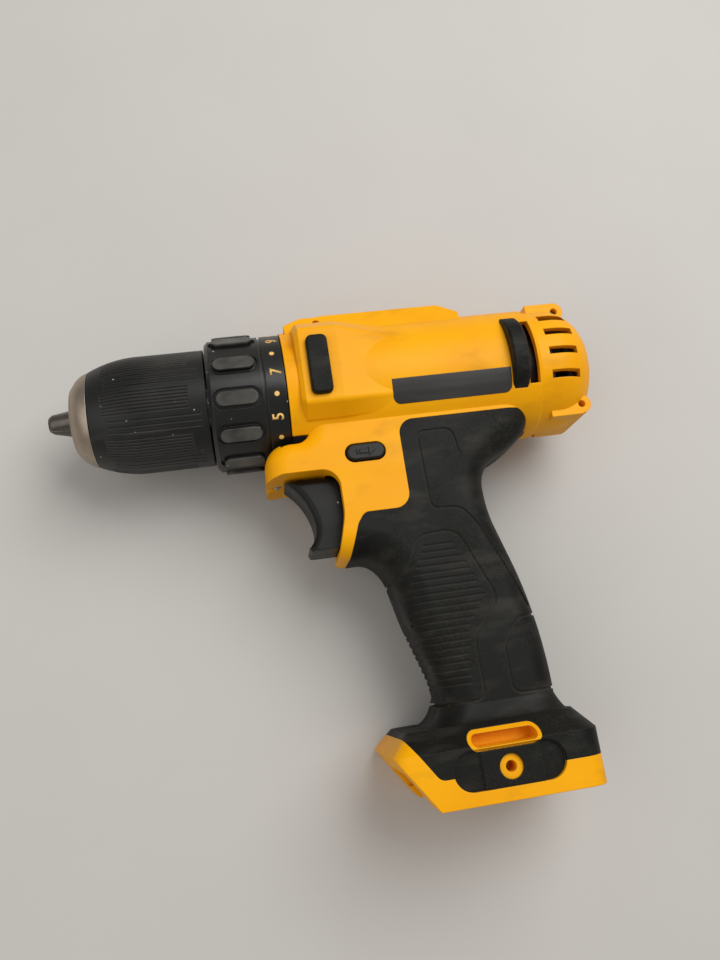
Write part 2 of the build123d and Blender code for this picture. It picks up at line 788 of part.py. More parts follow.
collar_slots = collar_keys(
    key_depth,
    key_width,
    collar_front_x + collar_front_wall,
    case_front_x - collar_seat_length - collar_front_x - 3,
)
with BuildPart() as clutch_collar:
    with BuildSketch(Plane.XY):
        with BuildLine():
            Polyline(
                (collar_front_x, nose_tube_radius + 0.6),
                (collar_front_x, collar_radius - 1.2),
                (collar_front_x + 1.2, collar_radius),
                (collar_rear_x, collar_radius),
                (collar_rear_x, collar_bore),
                (collar_front_x + collar_front_wall, collar_bore),
                (collar_front_x + collar_front_wall, nose_tube_radius + 0.6),
                close=True,
            )
        make_face()
    revolve(axis=Axis.X)
    add(
        tube(
            collar_front_x + collar_grip_length,
            collar_groove_width,
            collar_radius + 1,
            collar_radius - collar_groove_depth,
        ),
        mode=Mode.SUBTRACT,
    )
    for angle in pad_angles:
        with BuildSketch(radial_plane(pad_middle_x, angle).offset(collar_radius - 0.9)):
            SlotOverall(collar_pad_length + 2 * collar_pad_border, collar_pad_width + 2 * collar_pad_border)
    extrude(amount=3, mode=Mode.SUBTRACT)
    for angle in pad_angles:
        with BuildSketch(radial_plane(pad_middle_x, angle).offset(collar_radius - 1.6)):
            SlotOverall(collar_pad_length, collar_pad_width)
    extrude(amount=collar_pad_radius - collar_radius + 1.6)
    add(collar_slots, mode=Mode.SUBTRACT)
export(clutch_collar.part, "clutch_collar")

nut_keys = collar_keys(key_depth - 0.2, key_width - 2 * slide_gap, nut_x, clutch_nut_length)
with BuildPart() as clutch_nut:
    add(tube(nut_x, clutch_nut_length, collar_bore - slide_gap, nose_tube_radius + fit_gap))
    add(nut_keys)
    add(rod(nut_x, clutch_nut_length, nose_tube_radius + fit_gap), mode=Mode.SUBTRACT)
export(clutch_nut.part, "clutch_nut")

spring_start_x = nut_x + clutch_nut_length + clutch_wire / 2
spring_end_x = washer_rear_x - washer_thickness - clutch_wire / 2
spring_radius = nose_tube_radius + 1.2 + clutch_wire / 2
spring_pitch = (spring_end_x - spring_start_x) / clutch_spring_turns
with BuildPart() as clutch_spring:
    with BuildLine() as coil:
        Helix(
            pitch=spring_pitch,
            height=spring_end_x - spring_start_x,
            radius=spring_radius,
            center=(spring_start_x, 0, 0),
            direction=(1, 0, 0),
        )
    with BuildSketch(Plane(origin=coil.line @ 0, z_dir=coil.line % 0)):
        Circle(clutch_wire / 2)
    sweep(path=coil.line, is_frenet=True)
export(clutch_spring.part, "clutch_spring")
print("clutch spring: gap between its turns", round(spring_pitch - clutch_wire, 2), "mm")

# Motor
can_front = 1.6
magnet_radius = motor_radius - motor_wall - 0.02
armature_radius = magnet_radius - magnet_thickness - air_gap
core_x = motor_x + 8
core_length = 29.0
winding_overhang = 4.0
commutator_x = core_x + core_length + winding_overhang + 0.4
commutator_length = end_bell_x - commutator_x - 1.2
brush_width = 5.0
brush_height = 4.0
brush_length = 7.0
shaft_start_x = first_planet_x - 0.2
shaft_end_x = fan_x + fan_width
pinion_length = motor_x - 2.2 - first_planet_x

with BuildPart() as motor_can:
    add(tube(motor_x, motor_can_length, motor_radius, motor_radius - motor_wall))
    add(tube(motor_x, can_front, motor_radius, shaft_radius + fit_gap))
    add(tube(motor_x - 2, 2, cover_hole_radius - fit_gap, shaft_radius + fit_gap))
    with BuildSketch(Plane.YZ.offset(motor_x)):
        with PolarLocations(motor_screw_circle, 2):
            Circle(motor_screw_radius + fit_gap)
    extrude(amount=can_front, mode=Mode.SUBTRACT)
    with BuildSketch(Plane.XZ.offset(-motor_radius - 2)):
        with Locations((core_x + core_length / 2, 0)):
            SlotOverall(core_length * 0.6, 5)
    extrude(amount=4, mode=Mode.SUBTRACT)
export(motor_can.part, "motor_can")

with BuildPart() as motor_magnets:
    with BuildSketch(Plane.YZ.offset(core_x - 2)):
        Circle(magnet_radius)
        Circle(magnet_radius - magnet_thickness, mode=Mode.SUBTRACT)
        Rectangle(13, 2 * motor_radius, mode=Mode.SUBTRACT)
    extrude(amount=core_length + 4)
export(motor_magnets.part, "motor_magnets")

with BuildPart() as armature_shaft:
    add(rod(shaft_start_x, shaft_end_x - shaft_start_x, shaft_radius))
    chamfer(armature_shaft.edges().filter_by(GeomType.CIRCLE), length=0.3)
export(armature_shaft.part, "armature_shaft")

slot_mouth = 1.6
slot_inner = 4.2
slot_outer = armature_radius - 1.8


def armature_slot_faces(clearance):
    """Winding pockets of the core, drawn in by clearance."""
    with BuildSketch(Plane.YZ) as pockets:
        with PolarLocations((slot_inner + slot_outer) / 2, armature_slots):
            Trapezoid(6.4 - 2 * clearance, slot_outer - slot_inner - 2 * clearance, 76, rotation=90)
    return pockets.sketch


with BuildPart() as armature_core:
    with BuildSketch(Plane.YZ.offset(core_x)):
        Circle(armature_radius)
        Circle(shaft_radius, mode=Mode.SUBTRACT)
        add(armature_slot_faces(0).moved(Location((core_x, 0, 0))), mode=Mode.SUBTRACT)
        with PolarLocations(armature_radius, armature_slots):
            Rectangle(5, slot_mouth, mode=Mode.SUBTRACT)
    extrude(amount=core_length)
export(armature_core.part, "armature_core")

with BuildPart() as armature_windings:
    with BuildSketch(Plane.YZ.offset(core_x)):
        add(armature_slot_faces(0.15).moved(Location((core_x, 0, 0))))
    extrude(amount=core_length)
    add(tube(core_x - winding_overhang, winding_overhang, slot_outer, slot_inner - 0.8))
    add(tube(core_x + core_length, winding_overhang, slot_outer, slot_inner - 0.8))
    fillet(
        armature_windings.faces().filter_by(Axis.X).sort_by(Axis.X)[0].edges().sort_by(SortBy.LENGTH)[-1],
        radius=1.5,
    )
    fillet(
        armature_windings.faces().filter_by(Axis.X).sort_by(Axis.X)[-1].edges().sort_by(SortBy.LENGTH)[-1],
        radius=1.5,
    )
export(armature_windings.part, "armature_windings")

with BuildPart() as commutator:
    add(tube(commutator_x, commutator_length, commutator_radius, shaft_radius))
    with BuildSketch(Plane.YZ.offset(commutator_x)):
        with PolarLocations(commutator_radius, armature_slots):
            Rectangle(1.6, 0.5)
    extrude(amount=commutator_length, mode=Mode.SUBTRACT)
export(commutator.part, "commutator")

brush_x = commutator_x + commutator_length / 2
with BuildPart() as motor_brushes:
    with Locations((brush_x, 0, 0)):
        Box(brush_width, brush_height, 2 * (commutator_radius + brush_length))
    add(rod(brush_x - brush_width, 2 * brush_width, commutator_radius + 0.1), mode=Mode.SUBTRACT)
export(motor_brushes.part, "motor_brushes")

holder_wall = 1.2
lug_half_width = 3.5
lug_bottom_y = -(head_bore - 0.5)
with BuildPart() as motor_end_bell:
    add(tube(end_bell_x, end_bell_length, motor_radius, shaft_radius + fit_gap))
    with Locations(((brush_x - brush_width / 2 - holder_wall + end_bell_x) / 2, 0, 0)):
        Box(
            end_bell_x - brush_x + brush_width / 2 + holder_wall,
            brush_height + 2 * holder_wall,
            2 * (motor_radius - motor_wall - 0.4),
        )
    add(rod(brush_x - 12, end_bell_x - brush_x + 12, commutator_radius + 1.6), mode=Mode.SUBTRACT)
    with Locations((brush_x, 0, 0)):
        Box(brush_width, brush_height, 2 * motor_radius + 2, mode=Mode.SUBTRACT)
    with Locations((end_bell_x + 2, (lug_bottom_y - motor_radius + 2) / 2, 0)):
        Box(4, abs(lug_bottom_y) - motor_radius + 2, 2 * lug_half_width)
export(motor_end_bell.part, "motor_end_bell")

pinion_teeth = outside_teeth(outer_sun_teeth, 0, (0, 0), first_planet_x, pinion_length)
with BuildPart() as motor_pinion:
    add(pinion_teeth)
    add(rod(first_planet_x - 1, pinion_length + 2, shaft_radius), mode=Mode.SUBTRACT)
export(motor_pinion.part, "motor_pinion")

with BuildPart() as cooling_fan:
    add(tube(fan_x, fan_width, 4.5, shaft_radius))
    add(tube(fan_x + fan_width - 1.4, 1.4, fan_radius, 4.0))
    for blade in range(fan_blades):
        with BuildSketch(radial_plane(fan_x + fan_width / 2, blade * 360 / fan_blades).offset(4.0)):
            with Locations(Location((0, 0), 12)):
                Rectangle(fan_width, 1.2)
    extrude(amount=fan_radius - 4.0)
    add(tube(fan_x - 3, 3, fan_radius + 5, shaft_radius), mode=Mode.SUBTRACT)
    add(tube(fan_x + fan_width, 3, fan_radius + 5, shaft_radius), mode=Mode.SUBTRACT)
    add(tube(fan_x - 1, fan_width + 2, fan_radius + 5, fan_radius), mode=Mode.SUBTRACT)
export(cooling_fan.part, "cooling_fan")

# Speed selector on the top ridge, and the yoke that carries its motion to the middle ring gear
arm_bottom_y = case_radius + free_gap
arm_thickness = 1.3
arm_end_x = selector_x + selector_length - 3
selector_bottom_y = arm_bottom_y + arm_thickness
selector_top_y = ridge_height - 1.2
selector_ribs = 4
yoke_tip_y = ring_radius - yoke_groove_depth + 0.2

with BuildPart() as shift_yoke:
    add(
        box_between(
            (yoke_x, yoke_x + yoke_width), (yoke_tip_y, selector_bottom_y), (-yoke_half_span, yoke_half_span)
        )
    )
    add(
        box_between(
            (yoke_x, arm_end_x), (arm_bottom_y, selector_bottom_y), (-yoke_half_span, yoke_half_span)
        )
    )
export(shift_yoke.part, "shift_yoke")

with BuildPart() as speed_selector:
    add(
        box_between(
            (selector_x, selector_x + selector_length),
            (selector_bottom_y, selector_top_y),
            (-selector_half_width, selector_half_width),
        )
    )
    with BuildSketch(Plane.XZ.offset(-selector_top_y)):
        with Locations((selector_x + selector_length / 2, 0)):
            with GridLocations(selector_length / selector_ribs, 1, selector_ribs, 1):
                Rectangle(1.6, 2 * selector_half_width - 1.6)
    extrude(amount=-1.0)
    fillet(speed_selector.faces().sort_by(Axis.Y)[-selector_ribs:].edges(), radius=0.4)
export(speed_selector.part, "speed_selector")

# Trigger, its switch, the direction button and the work light
switch_x = (106.4, 134.0)
switch_y = (-57.0, -33.0)
switch_half_width = 10.5
plunger_radius = 3.0
plunger_y = -45.0
plunger_end_x = 117.0
trigger_rear_x = switch_x[0] - trigger_travel - free_gap
trigger_edge = 2.2

with BuildPart() as switch_body:
    add(box_between(switch_x, switch_y, (-switch_half_width, switch_half_width)))
    chamfer(switch_body.edges().filter_by(Axis.Z), length=1.0)
    with BuildSketch(Plane.YZ.offset(switch_x[0] - 1)):
        with Locations((plunger_y, 0)):
            Circle(plunger_radius + fit_gap)
    extrude(amount=plunger_end_x + trigger_travel + 2 - switch_x[0] + 1, mode=Mode.SUBTRACT)
export(switch_body.part, "switch_body")

with BuildPart() as trigger:
    with BuildSketch(Plane.XY.offset(-trigger_half_width)):
        with BuildLine():
            ThreePointArc((75.6, trigger_top_y), (81.6, -39.4), (83.9, -47.6))
            ThreePointArc((83.9, -47.6), (83.2, -51.6), (81.0, -54.6))
            Polyline(
                (81.0, -54.6),
                (81.6, trigger_bottom_y),
                (trigger_rear_x, trigger_bottom_y),
                (trigger_rear_x, trigger_top_y),
                (75.6, trigger_top_y),
            )
        make_face()
    extrude(amount=2 * trigger_half_width)
    trigger_front = trigger.edges().filter_by(lambda edge: edge.center().X < 90 and abs(edge.center().Z) > 9)
    fillet(trigger_front, radius=trigger_edge)
    with BuildSketch(Plane.YZ.offset(trigger_rear_x)):
        with Locations((plunger_y, 0)):
            Circle(plunger_radius)
    extrude(amount=plunger_end_x - trigger_rear_x)
export(trigger.part, "trigger")

button_half_span = handle_half_width + button_proud
with BuildPart() as direction_button:
    with BuildSketch(Plane.XY.offset(-button_half_span)):
        with Locations((button_x, button_y)):
            SlotOverall(button_length, button_height)
    extrude(amount=2 * button_half_span)
    fillet(direction_button.faces().filter_by(Axis.Z).edges(), radius=0.6)
export(direction_button.part, "direction_button")

led_radius = 2.5
led_length = 4.6
led_place = Plane(origin=(71.4, -30.2, 0), x_dir=(0, 0, 1), z_dir=(0.82, 0.57, 0))
with BuildPart() as led_lens:
    with BuildSketch(led_place):
        Circle(led_radius)
    extrude(amount=led_length)
    fillet(led_lens.edges().sort_by(Axis.X)[0], radius=1.2)
export(led_lens.part, "led_lens")

with BuildPart() as led_board:
    with BuildSketch(led_place.offset(led_length)):
        Rectangle(9, 6)
    extrude(amount=1.2)
export(led_board.part, "led_board")

# Battery terminals and the wires
socket_top_y = foot_bottom_y + socket_height
socket_neck_y = foot_bottom_y + socket_neck_height
socket_end_x = 148.0
block_x = 140.0
blade_places = (-10.0, -3.3, 3.3, 10.0)
blade_length = 13.0
blade_height = 5.0
blade_thickness = 0.8
blade_y = (socket_top_y + socket_neck_y) / 2 - 0.2

with BuildPart() as terminal_block:
    add(
        box_between(
            (block_x, socket_end_x),
            (socket_neck_y + 0.2, socket_top_y),
            (-socket_half_width + 0.2, socket_half_width - 0.2),
        )
    )
    chamfer(terminal_block.edges().filter_by(Axis.Y), length=0.8)
export(terminal_block.part, "terminal_block")

with BuildPart() as terminal_blades:
    with Locations(*[(block_x - blade_length / 2, blade_y, place) for place in blade_places]):
        Box(blade_length, blade_height, blade_thickness)
    chamfer(
        terminal_blades.faces().sort_by(Axis.X)[: len(blade_places)].edges().filter_by(Axis.Y),
        length=blade_thickness * 0.3,
    )
export(terminal_blades.part, "terminal_blades")


def wire(points, bend_radius, z):
    """Round wire with straight runs and bends, in a plane parallel to the parting plane."""
    with BuildPart() as piece:
        with BuildLine(Plane.XY.offset(z)) as path:
            FilletPolyline(*points, radius=bend_radius)
        with BuildSketch(Plane(origin=path.line @ 0, z_dir=path.line % 0)):
            Circle(wire_radius)
        sweep(path=path.line)
    return piece.part


lead_spread = 2.4
motor_lead_y = -(motor_radius + head_bore) / 2 + 0.2
battery_run = [(144, socket_top_y), (144, -116), (133, -100), (124.5, -74), (124.5, switch_y[0])]
motor_run = [(128, switch_y[1]), (128, motor_lead_y), (end_bell_x, motor_lead_y)]
with BuildPart() as battery_leads:
    for side in (-1, 1):
        add(wire(battery_run, 8, side * lead_spread))
export(battery_leads.part, "battery_leads")
with BuildPart() as motor_leads:
    for side in (-1, 1):
        add(wire(motor_run, 5, side * lead_spread))
export(motor_leads.part, "motor_leads")

# Housing outer form
dome_x = 165.5
flare_x = (101.5, 155.0)
flare_half_width = 20.0
foot_front_radius = 4.0
grip_points = [
    (86, -8),
    (150, -3),
    (167.5, -19.5),
    (152, -29.7),
    (141.4, -34.5),
    (141.4, -50),
    (152.4, -88),
    (151.8, -134),
    (111.5, -134),
    (117.5, -110),
    (108.8, -82),
    (105.5, -66.5),
    (100.5, -60.2),
    (84, -60.8),
]
grip_radii = [10, 10, 10, 40, 12, 45, 150, 10, 10, 40, 100, 14, 8, 10]
neck_stations = {  # height: where the neck starts and ends along the drill, and half its width
    -103: (118, 150, 14.8),
    -109: (115.2, 151.2, 16.4),
    -113: (113.2, 152.6, 17.6),
    -116.6: (106, 154.8, 20),
}
neck_corner_radius = 8.0
switch_points = [(84, -6), (122, -6), (122, -48), (88, -48), (69.6, -37), (69.6, -18.8), (84, -18.8)]
switch_radii = [8, 8, 8, 8, 9.3, 9.3, 3]


def head_form(inset, front_x):
    """Barrel with the rounded motor dome, drawn in by inset."""
    barrel = head_radius - inset
    dome = barrel - dome_step
    rounding = dome_radius - inset
    rear_x = housing_rear_x - inset
    with BuildPart() as piece:
        with BuildSketch(Plane.XY):
            with BuildLine():
                Polyline((rear_x, 0), (front_x, 0), (front_x, barrel), (dome_x, barrel), (dome_x + 1, dome))
                Line((dome_x + 1, dome), (rear_x - rounding, dome))
                RadiusArc((rear_x - rounding, dome), (rear_x, dome - rounding), rounding)
                Line((rear_x, dome - rounding), (rear_x, 0))
            make_face()
        revolve(axis=Axis.X)
    return piece.part


def slab_form(points, radii, edge_radius, inset):
    """Rounded slab across the drill, from an outline beside the parting plane, drawn in by inset."""
    half_width = handle_half_width - inset
    with BuildPart() as piece:
        with BuildSketch(Plane.XY.offset(-half_width)):
            with BuildLine():
                FilletPolyline(*points, radius=radii, close=True)
            make_face()
            if inset > 0:
                offset(amount=-inset)
        extrude(amount=2 * half_width)
        fillet(piece.faces().filter_by(Axis.Z).edges(), radius=edge_radius - inset)
    return piece.part


def foot_plan(plan, x_start, x_end, half_width, inset):
    """Draws the foot's outline, as seen from below, into an open sketch."""
    with Locations(((x_start + x_end) / 2, 0)):
        Rectangle(x_end - x_start - 2 * inset, 2 * (half_width - inset))
    fillet(plan.vertices().sort_by(Axis.X)[-2:], radius=foot_corner_radius - inset)
    fillet(plan.vertices().sort_by(Axis.X)[:2], radius=foot_front_radius - inset)


def foot_form(inset):
    """Foot with its slanted front and the flare up to the grip, drawn in by inset."""
    rear_x = foot_front_x + foot_length
    with BuildPart() as piece:
        with BuildSketch(Plane.XZ.offset(-foot_side_y)) as wide:
            foot_plan(wide, foot_front_x, rear_x, foot_half_width, inset)
        extrude(amount=foot_side_y - foot_bottom_y)
        with BuildSketch(Plane.XZ.offset(-foot_side_y)) as flare_bottom:
            foot_plan(flare_bottom, foot_front_x, rear_x, foot_half_width, inset)
        with BuildSketch(Plane.XZ.offset(inset - foot_top_y)) as flare_top:
            foot_plan(flare_top, flare_x[0], flare_x[1], flare_half_width, inset)
        loft()
        with BuildSketch(Plane.XY.offset(-40)):
            with BuildLine():
                Polyline(
                    (foot_front_x + inset - 0.5, foot_side_y + 1),
                    (foot_front_x + inset + foot_slant, foot_bottom_y),
                    (foot_front_x + inset + foot_slant, foot_bottom_y - 5),
                    (foot_front_x - 10, foot_bottom_y - 5),
                    (foot_front_x - 10, foot_side_y + 1),
                    close=True,
                )
            make_face()
        extrude(amount=80, mode=Mode.SUBTRACT)
    return piece.part


def neck_form(inset):
    """Neck that spreads the grip into the foot, drawn in by inset."""
    with BuildPart() as piece:
        for y, (x_start, x_end, half_width) in neck_stations.items():
            with BuildSketch(Plane.XZ.offset(-y)):
                length = x_end - x_start - 2 * inset
                with Locations(((x_start + x_end) / 2, 0)):
                    RectangleRounded(length, 2 * (half_width - inset), neck_corner_radius - inset)
        loft()
    return piece.part


def side_prism(points, radii, z_start, z_end):
    """Prism across the drill with rounded corners."""
    with BuildPart() as piece:
        with BuildSketch(Plane.XY.offset(z_start)):
            with BuildLine():
                FilletPolyline(*points, radius=radii, close=True)
            make_face()
        extrude(amount=z_end - z_start)
    return piece.part


def side_slot(x, y, length, height, z_start, z_end):
    """Round-ended bar across the drill."""
    with BuildPart() as piece:
        with BuildSketch(Plane.XY.offset(z_start)):
            with Locations((x, y)):
                SlotOverall(length, height)
        extrude(amount=z_end - z_start)
    return piece.part


def side_pad(x, y, width, height, corner, z_start, z_end):
    """Rounded rectangular block across the drill."""
    with BuildPart() as piece:
        with BuildSketch(Plane.XY.offset(z_start)):
            with Locations((x, y)):
                RectangleRounded(width, height, corner)
        extrude(amount=z_end - z_start)
    return piece.part


bulge_x = housing_front_x + bulge_start
bulge_corners = [(21, 16), (15.5, bulge_half_width), (-10.3, bulge_half_width), (-14.5, 18.5)]
bulge_corner_radius = 2.0
bulge_bevel = 1.4


def bulge_section(x, corners):
    """Cross-section of the bulge at x, the same on both sides."""
    mirrored = [(y, -z) for y, z in reversed(corners)]
    with BuildSketch(Plane.YZ.offset(x)) as section:
        with BuildLine():
            FilletPolyline(*corners, *mirrored, radius=bulge_corner_radius, close=True)
        make_face()
    return section.sketch


run_out_radius = head_radius - 0.3
run_out_corners = [
    (y * run_out_radius / math.hypot(y, z), z * run_out_radius / math.hypot(y, z)) for y, z in bulge_corners
]
drawn_in_corners = [(y - math.copysign(bulge_bevel, y), z - bulge_bevel) for y, z in bulge_corners]
bulge_sections = [
    bulge_section(bulge_x, drawn_in_corners),
    bulge_section(bulge_x + bulge_bevel, bulge_corners),
    bulge_section(bulge_x + bulge_length - bulge_run_out, bulge_corners),
    bulge_section(bulge_x + bulge_length, run_out_corners),
]
with BuildPart() as bulge:
    for front, back in zip(bulge_sections, bulge_sections[1:]):
        loft(sections=[front, back], ruled=True)

with BuildPart() as ridge:
    with BuildSketch(Plane.XY.offset(-20)):
        with BuildLine():
            Polyline(
                (82, 15),
                (82, 23),
                (88, 25.8),
                (94.3, 25.8),
                (95, ridge_height),
                (137, ridge_height),
                (143.5, 22),
                (143.5, 15),
                close=True,
            )
        make_face()
    extrude(amount=40)
    with BuildSketch(Plane.YZ.offset(80)):
        with BuildLine():
            Polyline(
                (15, 15.5),
                (ridge_height, ridge_half_width),
                (ridge_height, -ridge_half_width),
                (15, -15.5),
                close=True,
            )
        make_face()
    extrude(amount=70, mode=Mode.INTERSECT)

# Rubber bumpers let into both sides
front_pads = [
    side_pad(front_bumper_x, bumper_rise, front_bumper_width, front_bumper_length, 2.0, start, end)
    for start, end in (
        (bulge_half_width - bumper_seat, bumper_half_width),
        (-bumper_half_width, bumper_seat - bulge_half_width),
    )
]
with BuildPart() as front_bumpers:
    add(front_pads)
    fillet(
        front_bumpers.edges().filter_by(lambda edge: abs(edge.center().Z) > bumper_half_width - 0.1),
        radius=0.8,
    )
export(front_bumpers.part, "front_bumpers")

rear_pad_radius = 14.85
rear_pad_centre = (1.1, 12.15)
with BuildPart() as rear_bumpers:
    with BuildSketch(Plane.YZ.offset(rear_bumper_x - rear_bumper_width / 2)):
        with Locations(rear_pad_centre, (rear_pad_centre[0], -rear_pad_centre[1])):
            Circle(rear_pad_radius)
        Circle(head_radius - bumper_seat, mode=Mode.SUBTRACT)
    extrude(amount=rear_bumper_width)
    chamfer(
        rear_bumpers.edges()
        .filter_by(GeomType.CIRCLE)
        .filter_by(lambda edge: abs(edge.radius - rear_pad_radius) < 0.1),
        length=0.7,
    )
export(rear_bumpers.part, "rear_bumpers")

# Places of the housing screws: x, y and how far the boss reaches out to each side
screw_places = {
    "ridge": (93.3, 23.0, 8.6),
    "dome_top": (180.5, 20.5, 7.0),
    "dome_bottom": (181.3, -17.0, 12.0),
    "foot": (160.7, -131.4, 7.0),
    "bulb": (86.0, -26.2, handle_half_width),
    "web": (138.5, -27.0, handle_half_width),
    "grip": (144.0, -97.0, handle_half_width),
}
screw_seat_z = -5.0

# Overmoulded rubber grip
handle_outer = slab_form(grip_points, grip_radii, grip_edge_radius, 0)
handle_core = slab_form(grip_points, grip_radii, grip_edge_radius, skin)
neck_outer = neck_form(0)
neck_core = neck_form(skin)
foot_outer = foot_form(0)
foot_core = foot_form(skin)
grip_region = side_prism(
    [
        (115, -17),
        (172, -17),
        (172, -129.8),
        (108.4, -129.8),
        (98.6, -115.4),
        (90, -110),
        (90, -64),
        (93.5, -60),
        (97, -50),
        (99.5, -46.5),
        (115, -46.5),
    ],
    [5, 4, 4, 3, 4, 4, 4, 3, 4, 3, 5],
    -40,
    40,
)
hook_plate_x = 129.4
hook_plate_y = -128.65
hook_block_x = (121.2, 139.2)
hook_block_reach = hook_plate_height / 2 - fit_gap
hook_block_y = (hook_plate_y - hook_block_reach, hook_plate_y + hook_block_reach)
hook_face_z = foot_half_width - 0.5
hook_floor_z = hook_face_z - 1.0
hook_bed_z = hook_floor_z - 1.5
hook_recesses = [
    side_slot(hook_plate_x, hook_plate_y, hook_plate_length, hook_plate_height, start, end)
    for start, end in ((hook_floor_z, 40), (-40, -hook_floor_z))
]
panel_lines = [
    (
        [
            (100, -75),
            (111.7, -64.3),
            (115.5, -56.5),
            (128, -55.5),
            (137.8, -79.5),
            (128, -90),
            (128.2, -109.6),
            (110, -109.6),
        ],
        [8, 5, 6, 5, 8, 3],
    ),
    (
        [
            (133.9, -31),
            (132.4, -21.8),
            (120.6, -21.8),
            (121.4, -48.1),
            (131, -48.6),
            (136.6, -56),
            (148, -83),
        ],
        [3, 3, 3, 6, 14],
    ),
    ([(156, -85.4), (143.3, -86.2), (137, -94), (137.2, -109.2), (156, -109.4)], [3, 4, 3]),
]
with BuildPart() as panel_grooves:
    with BuildSketch(Plane.XY.offset(-40)):
        for points, radii in panel_lines:
            with BuildLine():
                FilletPolyline(*points, radius=radii)
            trace(line_width=panel_groove_width)
    extrude(amount=80)
    add(slab_form(grip_points, grip_radii, grip_edge_radius, panel_groove_depth), mode=Mode.SUBTRACT)
with BuildPart() as palm_grooves:
    with BuildSketch(Plane.XY.offset(-40)):
        with Locations((121, -82)):
            with GridLocations(1, palm_groove_pitch, 1, palm_groove_count):
                Rectangle(40, palm_groove_width)
        with BuildLine():
            Polyline(
                (117.5, -58),
                (126, -58),
                (134, -77.5),
                (126.5, -88),
                (124.5, -106),
                (115.5, -106),
                (110, -86),
                (109, -75),
                close=True,
            )
        make_face(mode=Mode.INTERSECT)
    extrude(amount=80)
    add(slab_form(grip_points, grip_radii, grip_edge_radius, palm_groove_depth), mode=Mode.SUBTRACT)
with BuildPart() as grip_skin:
    add(handle_outer)
    add([neck_outer, foot_outer])
    add([handle_core, neck_core, foot_core], mode=Mode.SUBTRACT)
    add(grip_region, mode=Mode.INTERSECT)
    add(rod(60, 160, head_radius), mode=Mode.SUBTRACT)
    add(hook_recesses, mode=Mode.SUBTRACT)
    for side in (-1, 1):
        limits = sorted((side * hook_bed_z, side * hook_floor_z))
        add(side_slot(hook_plate_x, hook_plate_y, hook_plate_length, hook_plate_height, *limits))
        add(
            box_between(
                hook_block_x,
                hook_block_y,
                sorted((side * (hook_floor_z - 0.4), side * hook_face_z)),
            )
        )
    add(across(hook_x, hook_y, -40, 80, hook_boss_radius), mode=Mode.SUBTRACT)
    add(
        side_slot(hook_plate_x, hook_slot_y, hook_slot_length + 2.4, hook_slot_height + 2.4, -40, 40),
        mode=Mode.SUBTRACT,
    )
    for name in ("web", "grip"):
        x, y, face = screw_places[name]
        add(across(x, y, -40, 40, screw_head_radius + slide_gap), mode=Mode.SUBTRACT)
    x, y, face = screw_places["foot"]
    add(across(x, y, -face, 2 * face, boss_radius), mode=Mode.SUBTRACT)
with BuildPart() as grooved_skin:
    add(grip_skin.part)
    add([panel_grooves.part, palm_grooves.part], mode=Mode.SUBTRACT)
with BuildPart() as grip_overmould_left:
    add(grooved_skin.part)
    split(bisect_by=Plane.XY, keep=Keep.TOP)
with BuildPart() as grip_overmould_right:
    add(grooved_skin.part)
    split(bisect_by=Plane.XY, keep=Keep.BOTTOM)
export(grip_overmould_left.part, "grip_overmould_left")
export(grip_overmould_right.part, "grip_overmould_right")

# Housing halves
rib_places = (123.0, 158.6)
rib_width = 2.0
rib_notch = 4.6
motor_rib_bore = motor_radius + fit_gap
switch_rib_reach = 13.5
button_gap = 0.5
hook_slot_floor = 17.5
vent_heights = (14.0, 7.4, 0.0, -8.0)
vent_x = 169.8
intake_x = 161.4
intake_y = (-10.5, 12.5)
post_reach = handle_half_width - skin - wall + 0.5
trigger_notch = side_prism(
    [(64, -33.5), (75, -30.8), (93.3, -30.8), (93.3, -46), (88.7, -64), (64, -64)],
    [0.5, 6, 6, 20, 0.5, 0.5],
    -30,
    30,
)
with BuildPart() as led_seat:
    with BuildSketch(led_place.offset(-4)):
        Circle(led_radius)
    extrude(amount=led_length + 4)
    with BuildSketch(led_place.offset(led_length)):
        Rectangle(9.6, 6.6)
    extrude(amount=4)

screw_ears = [
    across(x, y, -face, 2 * face, boss_radius)
    for x, y, face in (screw_places[name] for name in ("dome_top", "dome_bottom", "foot"))
]
ear_webs = [
    box_between((170, 180.5), (12, 23.8), (-7, 7)),
    box_between((170, 181.3), (-20.6, -10), (-12, 12)),
    box_between((150, 160.7), (-134.6, -128.2), (-7, 7)),
]
hollows = [
    head_form(wall, housing_front_x - 10),
    slab_form(grip_points, grip_radii, grip_edge_radius, skin + wall),
    box_between((74, switch_x[0] + 0.6), (-56.3, trigger_top_y + 0.5), (-10.4, 10.4)),
    box_between((75.6, 118), (-29.4, -15), (-14.4, 14.4)),
    box_between((141, 147), (socket_top_y - 1, -115), (-4.4, 4.4)),
]
motor_ribs = [tube(rib_x, rib_width, head_bore + 0.5, motor_rib_bore) for rib_x in rib_places]
switch_ribs = [
    box_between((rib_x, rib_x + rib_width), (switch_y[0] - 1, switch_y[1] + 1), limits)
    for rib_x in (switch_x[0] + 3, switch_x[1] - 5)
    for limits in ((switch_half_width, switch_rib_reach), (-switch_rib_reach, -switch_half_width))
]
screw_posts = [
    across(x, y, -min(post_reach, face), 2 * min(post_reach, face), boss_radius)
    for x, y, face in (screw_places[name] for name in ("bulb", "web", "grip", "dome_bottom"))
]

